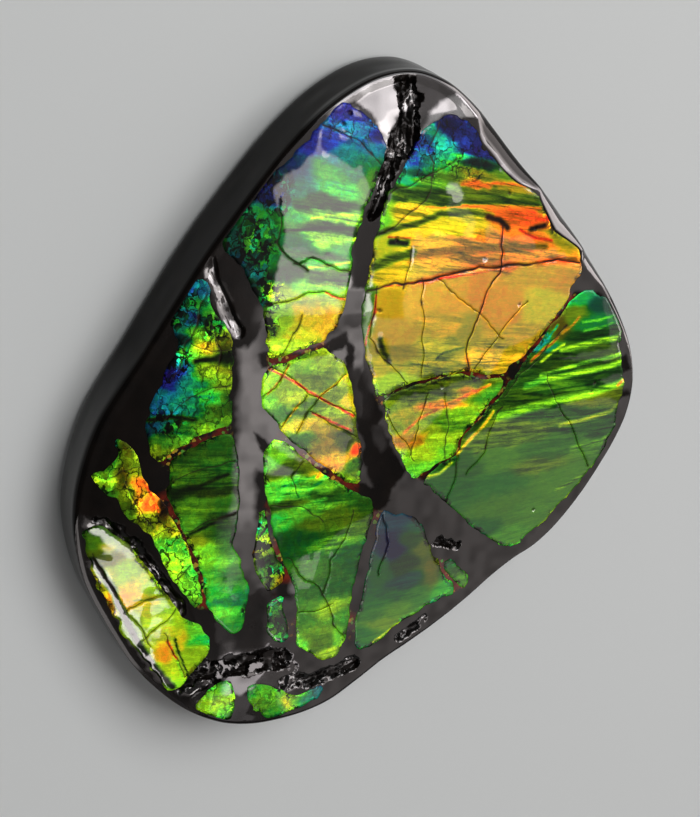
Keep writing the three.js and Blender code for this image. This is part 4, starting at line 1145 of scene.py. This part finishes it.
shell_plate("shell_wedge",
    patches=[
        (0.5, 0.5, 0.6, 0.62), (2.5, -2, 0.64, 0.69), (5.5, 2, 0.58, 0.31, 5, 1),
        (12.5, 3, 0.6, 0.31, 3, 0.7), (3.5, -1, 0.68, 0.62), (5, -4, 0.79, 0.69),
        (9, 0.5, 0.83, 1.12, 3, 0.7), (13.5, 2, 0.8, 0.81, 2, 0.6), (7, -3, 0.64, 0.75),
        (9.5, -2.5, 0.5, 0.81, 3, 0.7), (11.5, -0.5, 0.53, 1.12, 2, 0.7), (9.5, -4.5, 0.58, 1.19, 2, 0.7),
        (10.5, -6.5, 0.5, 1.19, 2, 1), (7, -6.5, 0.62, 1.19), (6.5, -9, 0.46, 1.31), (4, -7.5, 0.5, 1.06),
        (16, 1.5, 0.45, 0.94),
    ],
    bands=[
        (0.84, 1.12, 0.5, [(3.8, -3.1), (5.9, -1.2), (8.9, 0.1), (12.7, 1.4), (16.5, 2.8)]),
    ],
    cracks=[
        (0.2, [(0.3, 0.1), (2.3, -2.4), (4, -4.4), (5.2, -6.8)]),
        (0.2, [(6.7, 1.5), (5.7, -2.2), (5, -6.1)]),
        (0.2, [(9.7, 1.4), (10.7, -2.7), (10.2, -7.1)]),
    ],
    crumble=0.3)
shell_plate("shell_lower_right",
    patches=[
        (32.5, 15.5, 0.33, 0.61), (30, 14, 0.36, 0.81), (34, 12.5, 0.3, 0.2, 2, 1.5),
        (33, 10.5, 0.36, 0.47, 2, 1), (27.5, 10, 0.7, 0.2, 1, 2), (30, 12, 0.6, 0.47), (25.5, 8, 0.3, 0.68),
        (33.5, 8, 0.4, 0.16, 5, 0.7), (29.5, 7, 0.46, 0.27, 2, 0.8), (29, 5.5, 0.46, 0.2, 5, 0.7),
        (37, 5.5, 0.52, 0.27, 3, 0.8), (35.5, 1.5, 0.42, 0.2, 5, 0.7), (28.5, 1, 0.46, 0.54, 3, 0.7),
        (23.5, 0, 0.48, 0.3, 4, 0.8), (35, -2, 0.62, 0.41, 3, 0.8), (29, -3, 0.42, 0.3, 5, 0.8),
        (21.5, -4, 0.57, 0.51, 4, 0.8), (13.5, -2, 0.48, 0.16, 1, 2), (19, -6, 0.54, 0.47, 5, 0.8),
        (35.5, -6, 0.4, 0.27, 4, 0.7), (27, -8, 0.44, 0.41, 3, 1.2), (14, -9.5, 0.42, 0.3),
        (19.5, -9, 0.48, 0.49, 2.5, 1.6), (25.5, -10.5, 0.56, 0.41, 4, 1), (37, -10, 0.46, 0.47, 3, 0.8),
        (20, -12.5, 0.4, 0.38, 3, 2), (29.5, -13, 0.48, 0.49, 3, 2), (21, -16, 0.48, 0.43, 3, 2),
        (12.5, -13, 0.4, 0.34), (18, -19, 0.38, 0.32), (24, -18, 0.47, 0.49, 3, 1.5),
        (22.5, -21, 0.46, 0.61),
    ],
    bands=[
        (0.54, 1.28, 0.8, [(28.1, 6.5), (33, 7), (37.4, 7.2), (39, 7.4)]),
        (0.5, 1.35, 0.5, [(24.9, 3.2), (28.1, 3.6), (33.3, 4.3), (39.5, 4.6)]),
        (0.52, 1.35, 0.75, [(25.7, 2.4), (30.8, 2.7), (35.2, 3), (39.7, 3.4)]),
        (0.44, 1.22, 0.9, [(22.5, 1.9), (25.7, 2.5)]),
        (0.5, 1.35, 1.1, [(18.4, -2.4), (23.6, -1.4), (28.6, -1), (33.9, -0.8), (37.8, -0.3), (39.6, 0.2)]),
        (0.8, 1.15, 0.6, [(38.9, -0.1), (39.9, 0.5)]),
        (0.62, 0.81, 0.7, [(29.1, -5), (34.4, -4.5), (38, -4), (39.3, -3.3)]),
        (0.5, 0.81, 0.8, [(31.8, -8.7), (36.8, -8.4), (39.4, -7.6)]),
        (0.52, 0.74, 0.6, [(29.8, -15.1), (33.1, -13.9), (36.3, -12.3)]),
        (0.62, 1.01, 0.35, [(36.3, -12.4), (32.8, -15.8), (29.6, -18.4), (27, -21), (24.7, -22.9)]),
        (0.4, 1.35, 0.5, [(21.2, -22.5), (23.8, -22.9), (26.6, -21.6)]),
        (0.65, 1.15, 0.5, [(7.4, -10.3), (9.8, -9.9), (11.6, -8.3)]),
        (0.75, 1.28, 0.5, [(12.4, -7.3), (14.1, -5.3), (16.2, -3.1), (17.5, -1.4)]),
        (0.28, 1.08, 0.35, [(23.7, 6.7), (25.6, 8.5), (27.1, 10.3)]),
        (0.84, 0.68, 0.5, [(22.9, 5.4), (25.2, 7.2), (27.1, 8.4)]),
        (0.6, 1.28, 0.4, [(24.7, 5.2), (26.6, 6.6), (28.4, 7.4)]),
        (0.77, 0.68, 0.4, [(27.9, 9.1), (29.7, 10.1), (30.7, 11.2)]),
        (0.43, 1.08, 0.35, [(31.4, 10.3), (34.4, 10.2), (36.6, 10.5)]),
        (0.44, 1.15, 0.35, [(31.8, 9.1), (34.5, 9), (36.8, 9.5)]),
    ],
    cracks=[
        (0.2, [(26.4, 2.3), (28, -1.2), (31.1, -5.4), (32.8, -8.4), (34.7, -11.4)]),
        (0.2, [(18.6, -1.6), (17.4, -4.1), (16.8, -7.4), (14.6, -9.8)]),
        (0.2, [(28, 9.5), (25.2, 6.6), (22.1, 4.3), (19.6, 1.3)]),
        (0.2, [(12.2, -8.3), (12.2, -11.1), (11.5, -13.4)]),
    ],
    crumble=0.1, veil=0.8)


# ---- Shell plates of the left side ----
# Smaller plates, more crushed than the others, that run down to the facet at the lower left.
shell_plate("shell_left_upper",
    patches=[
        (-32.5, -1.5, 0.22, 0.33, 2, 1), (-29, -1.5, 0.42, 0.65, 3, 0.7), (-25.5, -1.5, 0.52, 0.78, 2, 0.7),
        (-31, -3, 0.46, 0.72), (-31.5, -4.5, 0.62, 0.98), (-31.5, 2, 0.22, 0.65),
        (-28.5, 2, 0.32, 0.65, 1.5, 1.2), (-30.5, 3.5, 0.24, 0.65), (-27, 2, 0.34, 0.59),
        (-24, 3, 0.38, 1.3), (-23, 1.5, 0.48, 0.39), (-27, 5, 0.33, 0.65, 3, 1), (-29.5, 6.5, 0.06, 0.65),
        (-30.5, 5, 0.04, 0.45), (-24.5, 6.5, 0.58, 1.1), (-23, 7, 0.65, 0.65), (-22.5, 4.5, 0.58, 0.78),
        (-28, 9, 0.42, 1.43), (-29.5, 8, 0.2, 0.45), (-25.5, 10, 0.74, 1.1), (-26, 12, 0.5, 0.85),
        (-25, 14.5, 0.45, 0.78), (-27, 14.5, 0.08, 0.13), (-28, 14.5, 0.38, 0.45), (-27, 16.5, 0.36, 0.59),
        (-27, 18.5, 0.22, 0.65), (-30.5, 13, 0.36, 0.39), (-31, 11.5, 0.06, 0.39),
        (-22.5, 10.5, 0.66, 0.26), (-23, -0.5, 0.5, 0.65), (-21.5, 3, 0.5, 0.13),
        (-29, 11, 0.3, 0.03, 2, 1), (-22.5, 9, 0.5, 0.04),
    ],
    bands=[
        (0.5, 0.04, 0.8, [(-26.6, 8.2), (-24, 8.7), (-21.7, 9)]),
        (0.5, 0.04, 0.6, [(-32.6, 0.1), (-29.5, 0.5), (-26.6, 0.1)]),
    ],
    cracks=[
        (0.2, [(-29.7, 0.8), (-27.2, 3.2), (-24.3, 4.5), (-21.6, 4.5)]),
        (0.2, [(-25.6, 16.7), (-26.7, 13.3), (-28, 10.5), (-29.2, 6.8)]),
        (0.2, [(-22, 9.8), (-24.5, 9.6), (-26.6, 10.5)]),
        (0.2, [(-24.3, 12.6), (-23.1, 9.5), (-23.5, 6.8)]),
    ],
    crumble=0.45, crushed=[(-29, 15, 4, 1), (-31, 8, 4, 1), (-30, 0, 3, 1), (-24, 13, 3, 1)])
shell_plate("shell_left_lower",
    patches=[
        (-26, -4.5, 0.46, 0.26, 3, 0.8), (-22.5, -3, 0.44, 0.29), (-27, -7, 0.48, 0.36, 3, 0.7),
        (-23.5, -6.5, 0.42, 0.33, 3, 0.7), (-25.5, -8.5, 0.46, 0.33, 3, 0.6),
        (-25.5, -13, 0.5, 0.55, 3, 0.8), (-22.5, -12, 0.46, 0.39), (-26.5, -15, 0.48, 0.65),
        (-22.5, -14.5, 0.45, 0.2, 3, 0.6), (-22, -17, 0.44, 0.36, 3, 0.8), (-25.5, -17.5, 0.64, 0.52),
        (-24, -19, 0.5, 1.17, 1.5, 1), (-22.5, -20.5, 0.48, 1.17), (-21.5, -19.5, 0.44, 0.52),
        (-22.5, -23, 0.44, 1.04), (-21, -23, 0.42, 0.39), (-21.5, -25.5, 0.4, 0.91), (-20, -27, 0.35, 0.52),
        (-21, -28.5, 0.44, 1.23), (-20, -31, 0.4, 0.65), (-25, -10.5, 0.5, 0.1, 4, 0.5),
    ],
    bands=[
        (0.5, 0.07, 0.5, [(-29, -10.5), (-25.9, -9.7), (-21.5, -7.8)]),
        (0.5, 0.07, 0.5, [(-26.2, -16.3), (-23.2, -15), (-20, -13.4)]),
    ],
    cracks=[
        (0.2, [(-28, -8.2), (-24.7, -6.8), (-20.5, -5.8)]),
        (0.2, [(-26.2, -15.8), (-23.3, -14.7), (-20, -13.4)]),
    ],
    crumble=0.3)
shell_plate("shell_left_strip",
    patches=[
        (-38, -2.5, 0.32, 0.82, 0.6, 2), (-37.5, -6, 0.45, 0.91), (-37.5, -8, 0.52, 1.73),
        (-39, -9, 0.64, 0.99), (-38, -10, 0.46, 0.58), (-35.5, -7.5, 0.7, 0.08, 1, 2),
        (-33.5, -6, 0.62, 0.82), (-33.5, -10, 0.87, 1.48, 0.8, 1.5), (-32, -12, 0.9, 1.81, 0.8, 1),
        (-34.5, -10.5, 0.6, 0.99), (-34.5, -13, 0.56, 0.41, 0.8, 1.5), (-32, -14.5, 0.64, 0.74),
        (-30, -9.5, 0.8, 1.15), (-30.5, -12.5, 0.8, 0.05, 1, 2), (-29, -16, 0.66, 1.32),
        (-30, -18, 0.44, 1.48), (-28, -18, 0.45, 1.07), (-29, -20.5, 0.54, 2.23), (-27, -22.5, 0.52, 2.97),
        (-28, -22.5, 0.57, 1.65), (-25.5, -22.5, 0.42, 1.32), (-25.5, -25, 0.48, 1.81),
        (-24.5, -27, 0.47, 0.74),
    ],
    bands=[
        (0.9, 1.57, 0.35, [(-33, -8.4), (-31.6, -10.9), (-30.7, -13.1)]),
        (0.76, 1.4, 0.3, [(-28.2, -14.3), (-27, -16.8), (-25.2, -20.6)]),
    ],
    cracks=[
        (0.2, [(-37.3, -7.8), (-35.8, -7), (-34.2, -6.7)]),
        (0.2, [(-34.9, -9.4), (-34, -11.3), (-31.7, -14.8)]),
        (0.2, [(-31.6, -16.9), (-29.7, -16), (-27.9, -15.3)]),
        (0.2, [(-27.5, -23), (-26.4, -21.8), (-25.4, -20.6)]),
    ],
    crumble=0.55)
shell_plate("shell_left_flap",
    patches=[
        (-39.5, -18, 0.5, 0.42), (-37.5, -18.5, 0.7, 0.91, 1, 0.6), (-36.5, -20.5, 0.7, 0.42),
        (-35, -22, 0.6, 1.05, 1.5, 1.5), (-33, -24.5, 0.73, 1.05, 1.5, 1), (-33.5, -26.5, 0.8, 1.19),
        (-31, -24.5, 0.6, 1.19), (-31.5, -26.5, 0.68, 1.05, 2, 0.5), (-31, -28, 0.68, 1.05),
        (-30, -30, 0.62, 1.33), (-32.5, -30.5, 0.6, 0.7, 1, 2), (-29, -28, 0.58, 1.12),
        (-28, -32, 0.66, 1.12), (-28, -35, 0.8, 1.05, 0.8, 1.5), (-26, -32.5, 0.72, 0.98, 0.8, 2),
        (-25, -34.5, 0.6, 0.98), (-26.5, -37.5, 0.62, 1.19), (-25.5, -40, 0.54, 1.82),
        (-24.5, -30.5, 0.46, 1.12), (-23, -32.5, 0.38, 1.19), (-23.5, -35, 0.58, 0.98),
        (-36.5, -23, 0.68, 0.98), (-38, -20, 0.6, 0.28),
    ],
    bands=[
        (0.92, 1.26, 0.3, [(-27.9, -32.9), (-26.9, -34.8), (-26.3, -36.1)]),
        (0.5, 1.33, 0.3, [(-26.4, -36), (-25.6, -38.1), (-24.8, -39.9)]),
        (0.5, 0.04, 0.3, [(-27, -32.5), (-25.8, -35.7), (-24.5, -38.9)]),
        (0.5, 0.04, 0.95, [(-38.9, -20.4), (-37.4, -22.5), (-35.8, -24.9), (-34.1, -28.9),
                           (-31.9, -33.1), (-29.3, -37.3), (-26.6, -40.4)]),
    ],
    cracks=[
        (0.2, [(-33.2, -28), (-31.3, -26.5), (-28.9, -25.6)]),
        (0.2, [(-30.6, -32.3), (-29.3, -30.8), (-27.3, -28.1)]),
        (0.2, [(-28.1, -32.4), (-26.5, -35.6), (-25.1, -38.6)]),
        (0.2, [(-38.5, -20.1), (-37.2, -22.3), (-34.8, -26.1), (-30.5, -33.1)]),
    ],
    crumble=0.25)


# ---- Crushed shell in the seams and at the bottom edge ----
# Small pieces that stayed in the ironstone where two seams meet, and two at the bottom edge.
shell_plate("shell_seam_upper",
    patches=[
        (-16, -16, 0.4, 1.17), (-15.5, -18, 0.62, 0.91), (-17, -19.5, 0.92, 1.1), (-16, -19.5, 0.5, 0.33),
        (-12.5, -22, 0.4, 0.91), (-13, -24.5, 0.8, 0.39), (-14.5, -24.5, 0.5, 0.45), (-14, -21, 0.5, 0.04),
        (-16.5, -14, 0.5, 0.52),
    ],
    crumble=1.0)
shell_plate("shell_seam_lower",
    patches=[
        (-14, -28.5, 0.4, 1.04), (-13.5, -30.5, 0.42, 0.2), (-12.5, -32, 0.45, 0.52),
        (-14, -34, 0.44, 1.23), (-12.5, -33.5, 0.38, 0.65),
    ],
    crumble=0.9)
shell_plate("shell_bottom_left",
    patches=[
        (-22, -43.5, 0.58, 1.1), (-21, -41, 0.5, 0.98), (-19, -40, 0.42, 1.17), (-19.5, -42.5, 0.58, 1.3),
        (-18, -44, 0.5, 1.43), (-17.5, -45, 0.4, 0.65),
    ],
    crumble=0.4)
shell_plate("shell_bottom_edge",
    patches=[
        (-15.5, -41, 0.38, 0.52), (-14, -41, 0.46, 0.91, 1, 1), (-12, -42.5, 0.47, 1.04, 1.5, 1.5),
        (-14, -43.5, 0.5, 0.78), (-10, -43.5, 0.7, 1.17, 0.8, 1), (-8.5, -43, 0.54, 1.1),
        (-7, -43, 0.3, 0.78), (-5, -42, 0.26, 0.78, 1, 1), (-12.5, -45, 0.42, 0.72),
    ],
    crumble=0.4)


# ---- Floor and lights ----
# A pale matt floor, and one soft light that falls on everything. The other ten show only in gloss:
# they stand where the polished face or the bevel mirrors them to the camera, so they place the
# reflections for that one view.
floor_mesh = bpy.data.meshes.new("floor")
floor_mesh.from_pydata([(-3, -3, 0), (3, -3, 0), (3, 3, 0), (-3, 3, 0)], [], [(0, 1, 2, 3)])
floor = bpy.data.objects.new("floor", floor_mesh)
bpy.context.scene.collection.objects.link(floor)
paint, tree, shader = new_material("pale matt floor")
shader.inputs["Base Color"].default_value = linear("#e4e6e5")
shader.inputs["Roughness"].default_value = 0.9
floor_mesh.materials.append(paint)

BOX_DISTANCE = 0.6
mirror_way = Vector((-towards_lens.x, -towards_lens.y, towards_lens.z))
box_right = Vector((0, 1, 0)).cross(mirror_way).normalized()
box_lean = Matrix((box_right, mirror_way.cross(box_right), mirror_way)).transposed().to_4x4()
box_plane = Matrix.Translation(LENS_AIM + mirror_way * BOX_DISTANCE) @ box_lean


def softbox(name, place, width, height, radiance, colour, only_gloss=True):
    """A rectangular soft light. With only_gloss it shows in the polish and lights nothing matt."""
    light = bpy.data.lights.new(name, "AREA")
    light.shape = "RECTANGLE"
    light.size, light.size_y = width, height
    light.energy = radiance * math.pi * width * height
    light.color = linear(colour)[:3]
    lamp = bpy.data.objects.new(name, light)
    bpy.context.scene.collection.objects.link(lamp)
    lamp.matrix_world = place
    lamp.visible_diffuse = not only_gloss


def mirrored(right, up, nearer):
    """A place in the plane that the polished face mirrors to the lens."""
    return box_plane @ Matrix.Translation((right, up, -nearer))


def around(bearing, rise, away):
    """A place round the specimen, turned to it, with bearing and rise in degrees."""
    turn, lift = math.radians(bearing), math.radians(rise)
    way = Vector((math.cos(turn) * math.cos(lift), math.sin(turn) * math.cos(lift), math.sin(lift)))
    right = Vector((0, 0, 1)).cross(way).normalized()
    lean = Matrix((right, way.cross(right), way)).transposed().to_4x4()
    return Matrix.Translation(LENS_AIM + way * away) @ lean


softbox("key softbox", around(50, 55, 1.0), 0.8, 0.8, 3.25, "#ffffff", only_gloss=False)
softbox("main softbox", mirrored(0.04, 0.0, 0.0), 0.92, 0.66, 0.9, "#fff2ef")
softbox("left softbox", mirrored(-0.13, 0.0, 0.01), 0.2, 0.3, 3.1, "#fff6f4")
softbox("middle softbox", mirrored(-0.1, 0.175, 0.02), 0.2, 0.17, 8.5, "#fff6f4")
softbox("flake softbox", mirrored(0.055, 0.185, 0.06), 0.06, 0.05, 8.0, "#fff6f4")
softbox("upper softbox", mirrored(-0.04, 0.335, 0.03), 0.4, 0.19, 14, "#fff6f8")
softbox("right softbox", mirrored(0.17, 0.235, 0.045), 0.18, 0.09, 14, "#fff6f8")
softbox("lower softbox", mirrored(-0.14, -0.25, 0.04), 0.16, 0.1, 6.0, "#fff6f8")
softbox("facet softbox", mirrored(-0.38, -0.33, 0.05), 0.1, 0.12, 12, "#fff8f6")
softbox("bevel softbox", around(17, 23, 0.6), 0.4, 0.42, 8.0, "#fff4f2")
softbox("low bevel softbox", around(-11, 19, 0.58), 0.12, 0.2, 8.0, "#fff4f2")

world = bpy.data.worlds.new("studio")
world.use_nodes = True
world.node_tree.nodes["Background"].inputs["Color"].default_value = (0.15, 0.15, 0.15, 1)
bpy.context.scene.world = world
